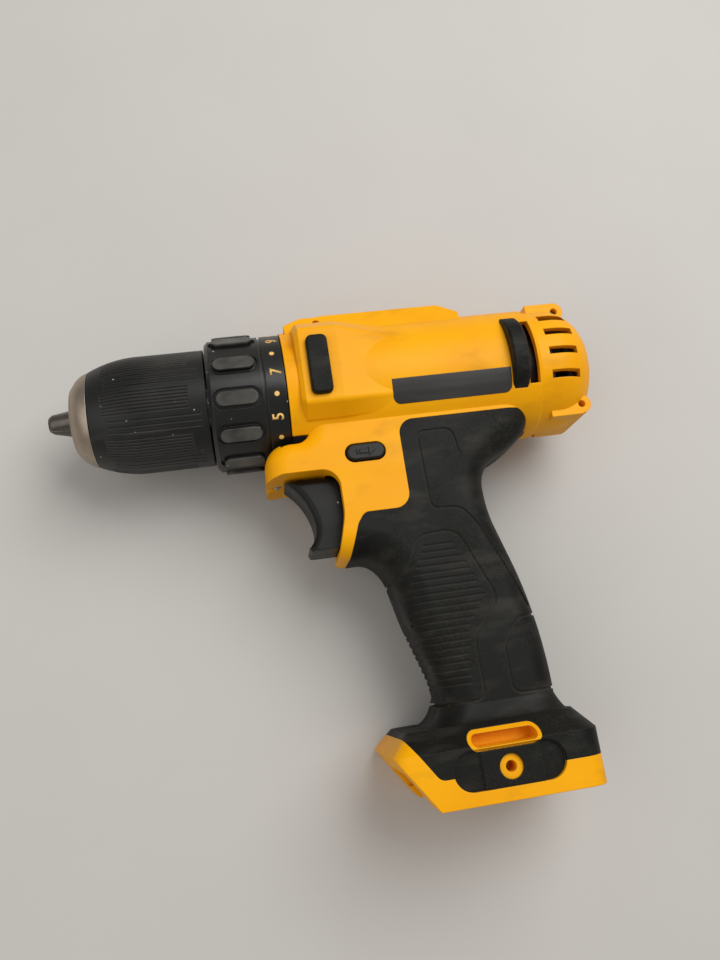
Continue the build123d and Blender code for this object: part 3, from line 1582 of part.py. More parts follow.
# Everything that is cut out at the end
wire_notches = [
    box_between((rib_x - 1, rib_x + rib_width + 1), (-head_radius, -10), (-rib_notch, rib_notch))
    for rib_x in rib_places
]
with BuildPart() as battery_socket:
    with BuildSketch(Plane.YZ.offset(foot_front_x - 5)):
        with BuildLine():
            Polyline(
                (foot_bottom_y - 2, socket_neck_half_width),
                (socket_neck_y, socket_neck_half_width),
                (socket_neck_y, socket_half_width),
                (socket_top_y, socket_half_width),
                (socket_top_y, -socket_half_width),
                (socket_neck_y, -socket_half_width),
                (socket_neck_y, -socket_neck_half_width),
                (foot_bottom_y - 2, -socket_neck_half_width),
                close=True,
            )
        make_face()
    extrude(amount=socket_end_x - foot_front_x + 5)
lug_pocket = box_between((164, 172.6), (lug_bottom_y - free_gap, -15), (-4.4, 4.4))
hook_holes = [
    across(hook_x, hook_y, start, 40, hook_hole_radius)
    for start in (foot_half_width - hook_hole_depth, hook_hole_depth - foot_half_width - 40)
]
hook_slots = [
    side_slot(hook_plate_x, hook_slot_y, hook_slot_length, hook_slot_height, start, start + 40)
    for start in (hook_slot_floor, -hook_slot_floor - 40)
]
button_slot = side_slot(
    button_x, button_y, button_length + 2 * button_gap, button_height + 2 * button_gap, -30, 30
)
selector_pocket = [
    box_between(
        (selector_x - free_gap, selector_x + selector_length + shift_travel + free_gap),
        (head_bore - 2, ridge_height + 2),
        (-selector_half_width - slide_gap, selector_half_width + slide_gap),
    ),
    box_between(
        (yoke_x - free_gap, arm_end_x + shift_travel + free_gap),
        (head_bore - 4, selector_bottom_y + free_gap),
        (-yoke_half_span - slide_gap, yoke_half_span + slide_gap),
    ),
]
vents = [
    box_between((vent_x, vent_x + vent_length), (y - vent_height / 2, y + vent_height / 2), limits)
    for y in vent_heights
    for limits in ((8, 30), (-30, -8))
]
intakes = [
    box_between((intake_x, intake_x + intake_width), intake_y, limits) for limits in ((12, 30), (-30, -12))
]
screw_holes = []
for x, y, face in screw_places.values():
    screw_holes.append(across(x, y, -40, 40 + screw_seat_z, screw_head_radius + slide_gap))
    screw_holes.append(across(x, y, screw_seat_z, screw_length + 1, screw_radius))
for name in ("ridge", "dome_top", "dome_bottom", "foot"):
    x, y, face = screw_places[name]
    screw_holes.append(across(x, y, 0, 30, screw_radius))

with BuildPart() as switch_section:
    add(slab_form(switch_points, switch_radii, switch_edge_radius, 0))
    add(rod(40, housing_front_x - 40, collar_pad_radius + 0.6), mode=Mode.SUBTRACT)
with BuildPart() as housing:
    add(head_form(0, housing_front_x))
    add(
        [
            bulge.part,
            ridge.part,
            switch_section.part,
            handle_outer,
            neck_outer,
            foot_outer,
            *screw_ears,
            *ear_webs,
        ]
    )
    add([trigger_notch, *hook_recesses], mode=Mode.SUBTRACT)
    add(grip_skin.part, mode=Mode.SUBTRACT)
    add(hollows, mode=Mode.SUBTRACT)
    add([*motor_ribs, *switch_ribs, *screw_posts])
    add(
        [
            *wire_notches,
            lug_pocket,
            *hook_holes,
            *hook_slots,
            *front_pads,
            rear_bumpers.part,
            button_slot,
            *selector_pocket,
            led_seat.part,
            *vents,
            *intakes,
            *screw_holes,
        ],
        mode=Mode.SUBTRACT,
    )
    add(battery_socket.part, mode=Mode.SUBTRACT)
with BuildPart() as housing_left:
    add(housing.part)
    split(bisect_by=Plane.XY, keep=Keep.TOP)
with BuildPart() as housing_right:
    add(housing.part)
    split(bisect_by=Plane.XY, keep=Keep.BOTTOM)
export(housing_left.part, "housing_left")
export(housing_right.part, "housing_right")

with BuildPart() as housing_screws:
    for x, y, face in screw_places.values():
        add(across(x, y, screw_seat_z - screw_head_height, screw_head_height, screw_head_radius))
        add(across(x, y, screw_seat_z, screw_length, screw_radius))
export(housing_screws.part, "housing_screws")
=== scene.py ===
"""Looks of a compact cordless drill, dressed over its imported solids.

Metres, in the part's own frame: X runs from the closed jaws' tips back along the spindle, Y points up from
the handle to the head, Z points out of the left side, and the drill lies on its right side on the floor.
"""
import json
import logging
import math
from dataclasses import dataclass, replace
from enum import Enum

import bpy
from bpy.types import Material, Node, NodeSocket, Object
from mathutils import Matrix, Vector


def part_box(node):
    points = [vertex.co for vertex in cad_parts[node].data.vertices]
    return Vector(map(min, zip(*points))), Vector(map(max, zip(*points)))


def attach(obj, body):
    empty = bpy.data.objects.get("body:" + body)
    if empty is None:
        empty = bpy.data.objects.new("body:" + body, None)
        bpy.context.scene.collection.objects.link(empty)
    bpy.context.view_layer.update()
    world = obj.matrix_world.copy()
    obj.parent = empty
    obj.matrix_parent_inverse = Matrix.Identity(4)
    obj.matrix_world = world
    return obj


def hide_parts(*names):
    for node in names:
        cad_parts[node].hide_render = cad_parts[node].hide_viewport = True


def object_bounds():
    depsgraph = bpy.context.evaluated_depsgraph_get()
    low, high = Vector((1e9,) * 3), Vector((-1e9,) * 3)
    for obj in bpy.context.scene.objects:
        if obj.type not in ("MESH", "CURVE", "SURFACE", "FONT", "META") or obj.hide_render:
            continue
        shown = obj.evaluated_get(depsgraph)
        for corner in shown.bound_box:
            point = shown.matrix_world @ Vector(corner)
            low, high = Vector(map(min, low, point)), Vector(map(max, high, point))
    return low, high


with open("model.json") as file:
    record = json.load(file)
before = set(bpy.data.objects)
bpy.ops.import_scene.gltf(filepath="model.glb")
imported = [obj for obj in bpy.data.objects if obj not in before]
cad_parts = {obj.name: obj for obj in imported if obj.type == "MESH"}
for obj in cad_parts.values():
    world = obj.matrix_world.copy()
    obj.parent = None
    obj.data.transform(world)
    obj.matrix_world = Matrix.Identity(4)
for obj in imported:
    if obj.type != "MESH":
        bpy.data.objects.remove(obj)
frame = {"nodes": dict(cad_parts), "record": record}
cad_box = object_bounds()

log = logging.getLogger("drill_looks")

MM = 0.001
# How far from the spindle's axis a line towards the head starts, clear of it
CLEAR_OF_HEAD = 0.1
Colour = tuple[float, float, float, float]


def screen_colour(red: int, green: int, blue: int) -> Colour:
    """Turns a colour as it looks on screen into the linear values that a shader takes.

    Args:
        red: red, 0 to 255.
        green: green, 0 to 255.
        blue: blue, 0 to 255.

    Returns:
        Linear red, green and blue, and an alpha of 1.
    """
    shares = [value / 255 for value in (red, green, blue)]
    linear = [s / 12.92 if s <= 0.04045 else ((s + 0.055) / 1.055) ** 2.4 for s in shares]
    return (*linear, 1.0)


class FinishSheet:
    """One material's nodes, with short calls for what the finishes share."""

    def __init__(self, name: str) -> None:
        """Starts a material that has one shader and reads the piece's own coordinates.

        Args:
            name: the material's name.
        """
        self.material: Material = bpy.data.materials.new(name)
        self.material.use_nodes = True
        self.tree = self.material.node_tree
        self.shader: Node = self.tree.nodes["Principled BSDF"]
        self.place: NodeSocket = self.node("ShaderNodeTexCoord").outputs["Object"]

    def node(self, kind: str, inputs: dict | None = None, **settings: object) -> Node:
        """Adds a node to the tree.

        Args:
            kind: Blender's name of the node.
            inputs: values or sockets for its inputs, by input name or number.
            settings: its properties.

        Returns:
            The new node.
        """
        made = self.tree.nodes.new(kind)
        for key, value in settings.items():
            setattr(made, key, value)
        for key, value in (inputs or {}).items():
            self.feed(made.inputs[key], value)
        return made

    def feed(self, socket: NodeSocket, value: object) -> None:
        """Links a socket to another node's output, or sets its own value."""
        if isinstance(value, NodeSocket):
            self.tree.links.new(value, socket)
        else:
            socket.default_value = value

    def stretched(self, stretch: tuple[float, float, float]) -> NodeSocket:
        """Gives the piece's coordinates, scaled along each axis."""
        return self.node("ShaderNodeMapping", {"Vector": self.place, "Scale": stretch}).outputs[0]

    def grain(
        self, size: float, detail: float = 3.0, stretch: tuple[float, float, float] = (1, 1, 1)
    ) -> NodeSocket:
        """Adds cloudy noise.

        Args:
            size: width of one cloud in metres.
            detail: how many finer layers it has.
            stretch: scale along each axis, where a small value draws the clouds out.

        Returns:
            The noise, from 0 to 1.
        """
        inputs = {"Vector": self.stretched(stretch), "Scale": 1 / size, "Detail": detail}
        return self.node("ShaderNodeTexNoise", inputs).outputs["Fac"]

    def cells(self, size: float) -> NodeSocket:
        """Gives the distance to the nearest of points scattered about one size apart."""
        inputs = {"Vector": self.place, "Scale": 1 / size}
        return self.node("ShaderNodeTexVoronoi", inputs).outputs["Distance"]

    def band(
        self, value: NodeSocket, low: float, high: float, start: float = 0.0, end: float = 1.0
    ) -> NodeSocket:
        """Maps a value's range onto another, and stops at its ends.

        Args:
            value: what is mapped.
            low: value that becomes start.
            high: value that becomes end.
            start: result at low.
            end: result at high.

        Returns:
            The mapped value.
        """
        inputs = {"Value": value, "From Min": low, "From Max": high, "To Min": start, "To Max": end}
        return self.node("ShaderNodeMapRange", inputs).outputs["Result"]

    def calculate(self, operation: str, first: object, second: object) -> NodeSocket:
        """Joins two numbers by one of Blender's math operations."""
        return self.node("ShaderNodeMath", {0: first, 1: second}, operation=operation).outputs[0]

    def blend(self, share: object, first: object, second: object) -> NodeSocket:
        """Mixes two colours, all first at a share of 0 and all second at 1."""
        inputs = {0: share, 6: first, 7: second}
        return self.node("ShaderNodeMix", inputs, data_type="RGBA").outputs[2]

    def soft_normal(self, radius: float) -> NodeSocket:
        """Gives the surface direction with its edges rounded to a radius."""
        return self.node("ShaderNodeBevel", {"Radius": radius}, samples=6).outputs[0]

    def edges(self, soft: NodeSocket, low: float, high: float) -> NodeSocket:
        """Finds the edges that a rounded normal turns away from.

        Args:
            soft: the rounded normal.
            low: turn at which the edge starts to show.
            high: turn at which it shows fully.

        Returns:
            The share of edge, from 0 to 1.
        """
        flat = self.node("ShaderNodeNewGeometry").outputs["Normal"]
        turn = self.node("ShaderNodeVectorMath", {0: soft, 1: flat}, operation="DOT_PRODUCT").outputs["Value"]
        return self.band(turn, 1 - low, 1 - high)

    def recesses(self, reach: float, low: float, high: float) -> NodeSocket:
        """Finds the grooves and inner corners of the piece itself by ambient occlusion, where grime and dust
        stay, and where a dark colour laid on them paints shade.

        Args:
            reach: how far away a wall still counts, in metres.
            low: closeness at which a recess starts to show.
            high: closeness at which it shows fully.

        Returns:
            The share of recess, from 0 to 1.
        """
        settings = {"samples": 8, "only_local": True}
        openness = self.node("ShaderNodeAmbientOcclusion", {"Distance": reach}, **settings).outputs["AO"]
        return self.band(openness, 1 - low, 1 - high)

    def spindle_distance(self) -> NodeSocket:
        """Gives how far a point lies from the spindle's axis, in metres."""
        across = self.stretched((0, 1, 1))
        return self.node("ShaderNodeVectorMath", {0: across}, operation="LENGTH").outputs["Value"]

    def relief(self, height: NodeSocket, depth: float, normal: NodeSocket | None = None) -> NodeSocket:
        """Raises the surface direction by a pattern.

        Args:
            height: the pattern, from 0 to 1.
            depth: how deep it is, in metres.
            normal: the surface direction that it lies on, if not the plain one.

        Returns:
            The new surface direction.
        """
        inputs = {"Height": height, "Distance": depth, "Strength": 1.0}
        if normal is not None:
            inputs["Normal"] = normal
        return self.node("ShaderNodeBump", inputs).outputs[0]

    def finish(self, **inputs: object) -> Material:
        """Feeds the shader's inputs, written with underscores for spaces, and gives the material."""
        for key, value in inputs.items():
            self.feed(self.shader.inputs[key.replace("_", " ")], value)
        return self.material


@dataclass(frozen=True)
class MouldedPlastic:
    """Injection-moulded plastic: spark-eroded grain, scuffs, worn edges, grime with painted shade in its
    recesses, and where set a painted highlight far from the spindle.

    Args:
        name: the material's name.
        colour: clean colour.
        shade: colour of its faint clouds.
        rubbed: colour of worn edges and scuffs, and of the painted highlight past polish_radius.
        dirt: colour laid in the recesses by ambient occlusion and in the smudges; a dark one, like the
            yellow's brown, paints shade in the recesses.
        roughness: roughness of the clean surface.
        grain_depth: depth of the grain in metres.
        scuffs: share of scuff colour where a scuff is.
        wear: share of rubbed colour on the edges.
        dirty: share of that colour in the recesses, painted shade where the colour is dark.
        smudged: share of dirt in smudges on the open surface.
        specks: share of pale specks, 0 for none.
        specular: strength of the plain reflection.
        polish_radius: distance from the spindle past which a painted highlight in the rubbed colour is laid,
            0 for nowhere.
    """

    name: str
    colour: Colour
    shade: Colour
    rubbed: Colour
    dirt: Colour
    roughness: float
    grain_depth: float = 0.00002
    scuffs: float = 0.15
    wear: float = 0.3
    dirty: float = 0.4
    smudged: float = 0.0
    specks: float = 0.0
    specular: float = 0.4
    polish_radius: float = 0.0

    grain_size = 0.7 * MM
    cloud_size = 22 * MM
    scuff_size = 9 * MM
    speck_size = 5 * MM
    smudge_size = 6 * MM
    edge_radius = 0.45 * MM
    recess_reach = 1.6 * MM
    polish_fade = 0.5 * MM
    speck_colour = screen_colour(225, 222, 214)

    def build(self) -> Material:
        """Makes the material."""
        sheet = FinishSheet(self.name)
        soft = sheet.soft_normal(self.edge_radius)
        clouds = sheet.band(sheet.grain(self.cloud_size, 4), 0.35, 0.7)
        colour = sheet.blend(clouds, self.colour, self.shade)
        scratches = sheet.grain(self.scuff_size, 6, (0.12, 1.0, 0.6))
        scuffs = sheet.band(scratches, 0.6, 0.74, 0, self.scuffs)
        colour = sheet.blend(scuffs, colour, self.rubbed)
        patchy = sheet.band(sheet.grain(self.smudge_size, 5), 0.35, 0.65, 0.35, 1.0)
        # Ambient occlusion lays the dirt colour in the recesses: painted shade where that colour is dark (the
        # yellow housing's brown), dust where it is pale.
        dirt_and_shade_in_recesses = sheet.calculate("MULTIPLY", sheet.recesses(self.recess_reach, 0.35, 0.8), patchy)
        colour = sheet.blend(sheet.calculate("MULTIPLY", dirt_and_shade_in_recesses, self.dirty), colour, self.dirt)
        streaks = sheet.grain(self.smudge_size * 2, 7, (0.7, 1.2, 1.0))
        colour = sheet.blend(sheet.band(streaks, 0.58, 0.8, 0, self.smudged), colour, self.dirt)
        unevenness = sheet.band(clouds, 0.0, 0.8, 0.2, 1.0)
        rub = sheet.calculate("MULTIPLY", sheet.edges(soft, 0.02, 0.16), unevenness)
        colour = sheet.blend(sheet.calculate("MULTIPLY", rub, self.wear), colour, self.rubbed)
        # Painted highlight: the rubbed colour on the surface furthest from the spindle, where the collar
        # pads' tops catch the light.
        if self.polish_radius > 0:
            reach = self.polish_radius
            outermost = sheet.band(sheet.spindle_distance(), reach - self.polish_fade, reach, 0, 0.6)
            colour = sheet.blend(sheet.calculate("MULTIPLY", outermost, patchy), colour, self.rubbed)
        if self.specks > 0:
            spots = sheet.band(sheet.cells(self.speck_size), 0.07, 0.045, 0, self.specks)
            colour = sheet.blend(spots, colour, self.speck_colour)
        roughness = sheet.band(scratches, 0.3, 0.75, self.roughness - 0.06, self.roughness + 0.12)
        return sheet.finish(
            Base_Color=colour,
            Roughness=roughness,
            Normal=sheet.relief(sheet.grain(self.grain_size, 2), self.grain_depth, soft),
            Specular_IOR_Level=self.specular,
        )


@dataclass(frozen=True)
class GripRubber:
    """Soft moulded rubber: matt, dusty in its grooves and pores, and polished where hands hold it.

    Args:
        name: the material's name.
        colour: clean colour.
        dust: colour of the dust.
        dusty: share of dust in the pores.
        grooved: share of dust in the grooves.
    """

    name: str
    colour: Colour
    dust: Colour
    dusty: float = 0.16
    grooved: float = 0.3

    pore_size = 0.55 * MM
    patch_size = 16 * MM
    smear_size = 7 * MM
    lint_size = 3.2 * MM
    edge_radius = 0.4 * MM
    recess_reach = 1.2 * MM

    def build(self) -> Material:
        """Makes the material."""
        sheet = FinishSheet(self.name)
        soft = sheet.soft_normal(self.edge_radius)
        patches = sheet.band(sheet.grain(self.patch_size, 5), 0.4, 0.72)
        pores = sheet.grain(self.pore_size, 3)
        smears = sheet.band(sheet.grain(self.smear_size, 5, (0.5, 1.4, 1.0)), 0.5, 0.75, 0, 0.12)
        colour = sheet.blend(smears, self.colour, self.dust)
        dust = sheet.calculate("MULTIPLY", patches, sheet.band(pores, 0.45, 0.75, 0, self.dusty))
        colour = sheet.blend(dust, colour, self.dust)
        lint = sheet.band(sheet.cells(self.lint_size), 0.055, 0.03, 0, 0.35)
        colour = sheet.blend(lint, colour, self.dust)
        settled = sheet.calculate("MULTIPLY", sheet.recesses(self.recess_reach, 0.3, 0.75), self.grooved)
        colour = sheet.blend(settled, colour, self.dust)
        rub = sheet.calculate("MULTIPLY", sheet.edges(soft, 0.02, 0.2), 0.16)
        colour = sheet.blend(rub, colour, self.dust)
        return sheet.finish(
            Base_Color=colour,
            Roughness=sheet.band(patches, 0, 1, 0.46, 0.68),
            Normal=sheet.relief(pores, 0.00003, soft),
            Specular_IOR_Level=0.14,
        )


class Lay(Enum):
    """Which way the marks of a metal's last working run."""

    TURNED = (9.0, 0.25, 0.25)
    DRAWN = (0.08, 1.0, 1.0)
    CAST = (1.0, 1.0, 1.0)


@dataclass(frozen=True)
class WorkedMetal:
    """Bare or plated metal with the marks of its last working.

    Args:
        name: the material's name.
        colour: the metal's colour.
        stain: colour of its dull patches.
        roughness: roughness of the clean surface.
        lay: which way its marks run.
        mark_size: width of one mark in metres.
        mark_depth: depth of the marks in metres.
        metallic: 1 for bare metal, less under a coat.
    """

    name: str
    colour: Colour
    stain: Colour
    roughness: float
    lay: Lay
    mark_size: float = 0.5 * MM
    mark_depth: float = 0.000006
    metallic: float = 1.0

    patch_size = 7 * MM
    edge_radius = 0.25 * MM
    edge_colour = screen_colour(232, 228, 222)

    def build(self) -> Material:
        """Makes the material."""
        sheet = FinishSheet(self.name)
        soft = sheet.soft_normal(self.edge_radius)
        patches = sheet.band(sheet.grain(self.patch_size, 5), 0.42, 0.75, 0, 0.6)
        marks = sheet.grain(self.mark_size, 4, self.lay.value)
        bright = sheet.calculate("MULTIPLY", sheet.edges(soft, 0.02, 0.2), 0.4)
        colour = sheet.blend(patches, self.colour, self.stain)
        colour = sheet.blend(bright, colour, self.edge_colour)
        return sheet.finish(
            Base_Color=colour,
            Metallic=self.metallic,
            Roughness=sheet.band(marks, 0.3, 0.7, self.roughness - 0.05, self.roughness + 0.1),
            Normal=sheet.relief(marks, self.mark_depth, soft),
        )


@dataclass(frozen=True)
class ClearPlastic:
    """Clear moulded plastic of a lamp's lens, slightly cloudy.

    Args:
        name: the material's name.
        tint: colour of the plastic.
    """

    name: str
    tint: Colour

    cloud_size = 4 * MM
    cloud_colour = screen_colour(236, 240, 242)

    def build(self) -> Material:
        """Makes the material."""
        sheet = FinishSheet(self.name)
        clouds = sheet.grain(self.cloud_size, 3)
        return sheet.finish(
            Base_Color=sheet.blend(clouds, self.tint, self.cloud_colour),
            Roughness=sheet.band(clouds, 0.3, 0.7, 0.08, 0.2),
            Transmission_Weight=0.7,
            IOR=1.49,
        )


YELLOW = screen_colour(250, 174, 0)
YELLOW_SHADE = screen_colour(243, 164, 0)
YELLOW_RUBBED = screen_colour(252, 192, 60)
# Dark brown laid in the yellow housing's recesses as painted shade, and in its smudges as grime.
GRIME_AND_SHADE = screen_colour(112, 76, 26)
DUST = screen_colour(112, 109, 98)
BLACK_DUST = screen_colour(74, 73, 66)

SLOT_FINISHES = {
    "housing_plastic": MouldedPlastic(
        "yellow_housing_plastic",
        YELLOW,
        YELLOW_SHADE,
        YELLOW_RUBBED,
        GRIME_AND_SHADE,
        0.42,
        scuffs=0.1,
        smudged=0.3,
        specular=0.16,
    ),
    "grip_rubber": GripRubber("black_grip_rubber", screen_colour(20, 20, 17), DUST),
    "black_plastic": MouldedPlastic(
        "black_moulded_plastic",
        screen_colour(17, 17, 16),
        screen_colour(25, 25, 23),
        screen_colour(104, 102, 96),
        BLACK_DUST,
        0.38,
        scuffs=0.09,
        wear=0.3,
        specks=0.55,
        specular=0.24,
    ),
    "nose_metal": WorkedMetal(
        "satin_nose_ring", screen_colour(172, 158, 142), screen_colour(138, 124, 108), 0.38, Lay.TURNED
    ),
    "jaw_steel": WorkedMetal(
        "ground_jaw_steel", screen_colour(112, 106, 97), screen_colour(70, 66, 61), 0.34, Lay.DRAWN
    ),
    "machined_steel": WorkedMetal(
        "machined_steel", screen_colour(190, 190, 188), screen_colour(140, 138, 134), 0.3, Lay.TURNED
    ),
    "dark_screw": WorkedMetal(
        "blackened_screw_steel", screen_colour(62, 60, 58), screen_colour(34, 33, 32), 0.42, Lay.CAST
    ),
    "gearbox_plastic": MouldedPlastic(
        "grey_gearbox_plastic",
        screen_colour(70, 72, 74),
        screen_colour(84, 86, 88),
        screen_colour(140, 140, 138),
        BLACK_DUST,
        0.5,
    ),
    # Dark grey motor steel: painted shade, so the motor seen through the vents looks as dark as the inside of
    # the housing.
    "motor_steel": WorkedMetal(
        "dark_grey_motor_steel", screen_colour(70, 70, 72), screen_colour(48, 48, 50), 0.38, Lay.DRAWN
    ),
    "magnet_ferrite": WorkedMetal(
        "magnet_ferrite", screen_colour(58, 58, 60), screen_colour(40, 40, 42), 0.6, Lay.CAST, metallic=0.2
    ),
    "copper": WorkedMetal(
        "winding_copper", screen_colour(205, 120, 70), screen_colour(150, 78, 40), 0.32, Lay.DRAWN
    ),
    "contact_brass": WorkedMetal(
        "contact_brass", screen_colour(214, 182, 104), screen_colour(160, 128, 66), 0.3, Lay.DRAWN
    ),
    "wire_cover": MouldedPlastic(
        "red_wire_cover",
        screen_colour(168, 30, 26),
        screen_colour(150, 24, 20),
        screen_colour(190, 90, 84),
        BLACK_DUST,
        0.45,
    ),
    "led_clear": ClearPlastic("clear_lamp_lens", screen_colour(222, 228, 232)),
    "board": MouldedPlastic(
        "green_circuit_board",
        screen_colour(24, 92, 52),
        screen_colour(20, 76, 44),
        screen_colour(120, 150, 120),
        BLACK_DUST,
        0.4,
    ),
}

NODE_FINISHES = {
    # The collar is glossier, and its pad tops get a painted highlight in the rubbed colour.
    "clutch_collar": replace(
        SLOT_FINISHES["black_plastic"],
        name="glossy_collar_painted_highlight",
        roughness=0.3,
        specular=0.42,
        polish_radius=23.5 * MM,
    ),
    "chuck_sleeve": replace(
        SLOT_FINISHES["black_plastic"], name="scuffed_sleeve_plastic", scuffs=0.24, wear=0.6, specular=0.36
    ),
}


def edit_all(piece: Object) -> None:
    """Opens one piece in edit mode with all of it selected."""
    bpy.ops.object.select_all(action="DESELECT")
    piece.select_set(True)
    bpy.context.view_layer.objects.active = piece
    bpy.ops.object.mode_set(mode="EDIT")
    bpy.ops.mesh.select_all(action="SELECT")


def close_edit() -> None:
    """Goes back to object mode."""
    bpy.ops.object.mode_set(mode="OBJECT")


def surface_point(node: str, start: Vector, direction: Vector) -> Vector:
    """Finds where a straight line first meets a CAD node.

    Args:
        node: the node's name.
        start: where the line starts.
        direction: which way it goes.

    Returns:
        The point on the node's surface.
    """
    hit, point, _normal, _face = frame["nodes"][node].ray_cast(start, direction)
    if not hit:
        raise ValueError(f"nothing of {node} lies ahead of {start[:]}")
    return point


def hand_over(piece: Object, body: str, material: Material) -> Object:
    """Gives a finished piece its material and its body.

    Args:
        piece: the finished mesh.
        body: CAD body that carries it.
        material: what it is painted with.

    Returns:
        The piece.
    """
    piece.data.materials.clear()
    piece.data.materials.append(material)
    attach(piece, body)
    log.info("piece %s rides on %s, %d faces", piece.name, body, len(piece.data.polygons))
    return piece


def join_as(name: str, pieces: list[Object]) -> Object:
    """Joins several meshes into one piece.

    Args:
        name: the joined piece's name.
        pieces: the meshes.

    Returns:
        The joined piece.
    """
    bpy.ops.object.select_all(action="DESELECT")
    for piece in pieces:
        piece.select_set(True)
    bpy.context.view_layer.objects.active = pieces[0]
    bpy.ops.object.join()
    joined = bpy.context.view_layer.objects.active
    joined.name = name
    return joined


@dataclass
class ClutchScale:
    """Numbers and dots printed on the clutch collar's band.

    Args:
        middle_x: middle of the band along the spindle.
        seven_angle: where the 7 stands, in degrees from +Y towards +Z.
        step: degrees between neighbouring settings.
        settings: how many torque settings there are.
        numeral_height: height of a numeral.
        boldness: how far a numeral's strokes are widened.
        dot_radius: radius of a dot.
        proud: how far the print stands out of the band.
        depth: how far it reaches into the band.
        size_per_height: font size of a numeral that is one unit high.
        flutes: how many slanted bars the sign of the locked clutch has.
        flute_width: width of the first bar.
        flute_narrowing: by how much each next bar is narrower.
        flute_height: height of a bar.
        flute_slant: rise of a bar over its width.
        flute_top: where the first bar stands above the sign's middle.
        flute_pitch: distance between bars.
    """

    middle_x: float = 76.4 * MM
    seven_angle: float = 84.5
    step: float = 18.9
    settings: int = 15
    numeral_height: float = 3.7 * MM
    boldness: float = 0.11 * MM
    dot_radius: float = 0.85 * MM
    proud: float = 0.06 * MM
    depth: float = 0.14 * MM
    size_per_height: float = 1.42
    flutes: int = 4
    flute_width: float = 2.1 * MM
    flute_narrowing: float = 0.45 * MM
    flute_height: float = 0.5 * MM
    flute_slant: float = 0.45 * MM
    flute_top: float = 1.1 * MM
    flute_pitch: float = 0.75 * MM

    def band_radius(self) -> float:
        """Reads the band's radius off the collar."""
        start = Vector((self.middle_x, CLEAR_OF_HEAD, 0.0))
        return surface_point("clutch_collar", start, Vector((0, -1, 0))).y

    def angle(self, setting: float) -> float:
        """Gives a setting's place round the collar, in degrees."""
        return self.seven_angle + (7 - setting) * self.step

    def wrap(self, piece: Object, degrees: float) -> None:
        """Lays a flat mesh on the band, its top towards the chuck.

        Args:
            piece: mesh drawn flat about the origin, X to its right and Y to its top.
            degrees: where its middle goes.
        """
        radius = self.band_radius()
        for vertex in piece.data.vertices:
            across, up, out = vertex.co
            turn = math.radians(degrees) - across / radius
            reach = radius + out
            vertex.co = (self.middle_x - up, reach * math.cos(turn), reach * math.sin(turn))

    def thicken(self, piece: Object) -> None:
        """Turns a flat outline into a thin closed print, its underside in the band."""
        edit_all(piece)
        bpy.ops.mesh.normals_make_consistent(inside=False)
        bpy.ops.mesh.extrude_region_move(TRANSFORM_OT_translate={"value": (0, 0, self.proud + self.depth)})
        bpy.ops.mesh.select_all(action="SELECT")
        bpy.ops.transform.translate(value=(0, 0, -self.depth))
        bpy.ops.mesh.normals_make_consistent(inside=False)
        close_edit()

    def numeral(self, number: int) -> Object:
        """Draws one number and lays it on the band."""
        bpy.ops.object.select_all(action="DESELECT")
        bpy.ops.object.text_add()
        text = bpy.context.object
        text.data.body = str(number)
        text.data.size = self.numeral_height * self.size_per_height
        text.data.align_x = "CENTER"
        text.data.resolution_u = 3
        text.data.offset = self.boldness
        bpy.ops.object.convert(target="MESH")
        piece = bpy.context.object
        middle = sum((vertex.co.y for vertex in piece.data.vertices), 0.0) / len(piece.data.vertices)
        for vertex in piece.data.vertices:
            vertex.co.y -= middle
        self.thicken(piece)
        self.wrap(piece, self.angle(number))
        return piece

    def dot(self, setting: int) -> Object:
        """Draws the dot of an even setting."""
        bpy.ops.object.select_all(action="DESELECT")
        bpy.ops.mesh.primitive_circle_add(vertices=24, radius=self.dot_radius, fill_type="NGON")
        piece = bpy.context.object
        self.thicken(piece)
        self.wrap(piece, self.angle(setting))
        return piece

    def bit_sign(self) -> Object:
        """Draws a small twist bit, the sign of the locked clutch."""
        bars = []
        for place in range(self.flutes):
            bpy.ops.object.select_all(action="DESELECT")
            bpy.ops.mesh.primitive_plane_add(size=1)
            bar = bpy.context.object
            width = self.flute_width - self.flute_narrowing * place
            middle = self.flute_top - self.flute_pitch * place
            for vertex in bar.data.vertices:
                across, up, _ = vertex.co
                vertex.co = (across * width, up * self.flute_height + across * self.flute_slant + middle, 0)
            bars.append(bar)
        piece = join_as("bit_sign", bars)
        self.thicken(piece)
        self.wrap(piece, self.angle(self.settings + 1))
        return piece

    def build(self, ink: Material) -> None:
        """Makes all the prints of the scale.

        Args:
            ink: what they are printed with.
        """
        odd = range(1, self.settings + 1, 2)
        even = range(2, self.settings + 1, 2)
        numerals = join_as("collar_numerals", [self.numeral(number) for number in odd])
        hand_over(numerals, "collar", ink)
        dots = join_as("collar_dots", [self.dot(setting) for setting in even] + [self.bit_sign()])
        hand_over(dots, "collar", ink)


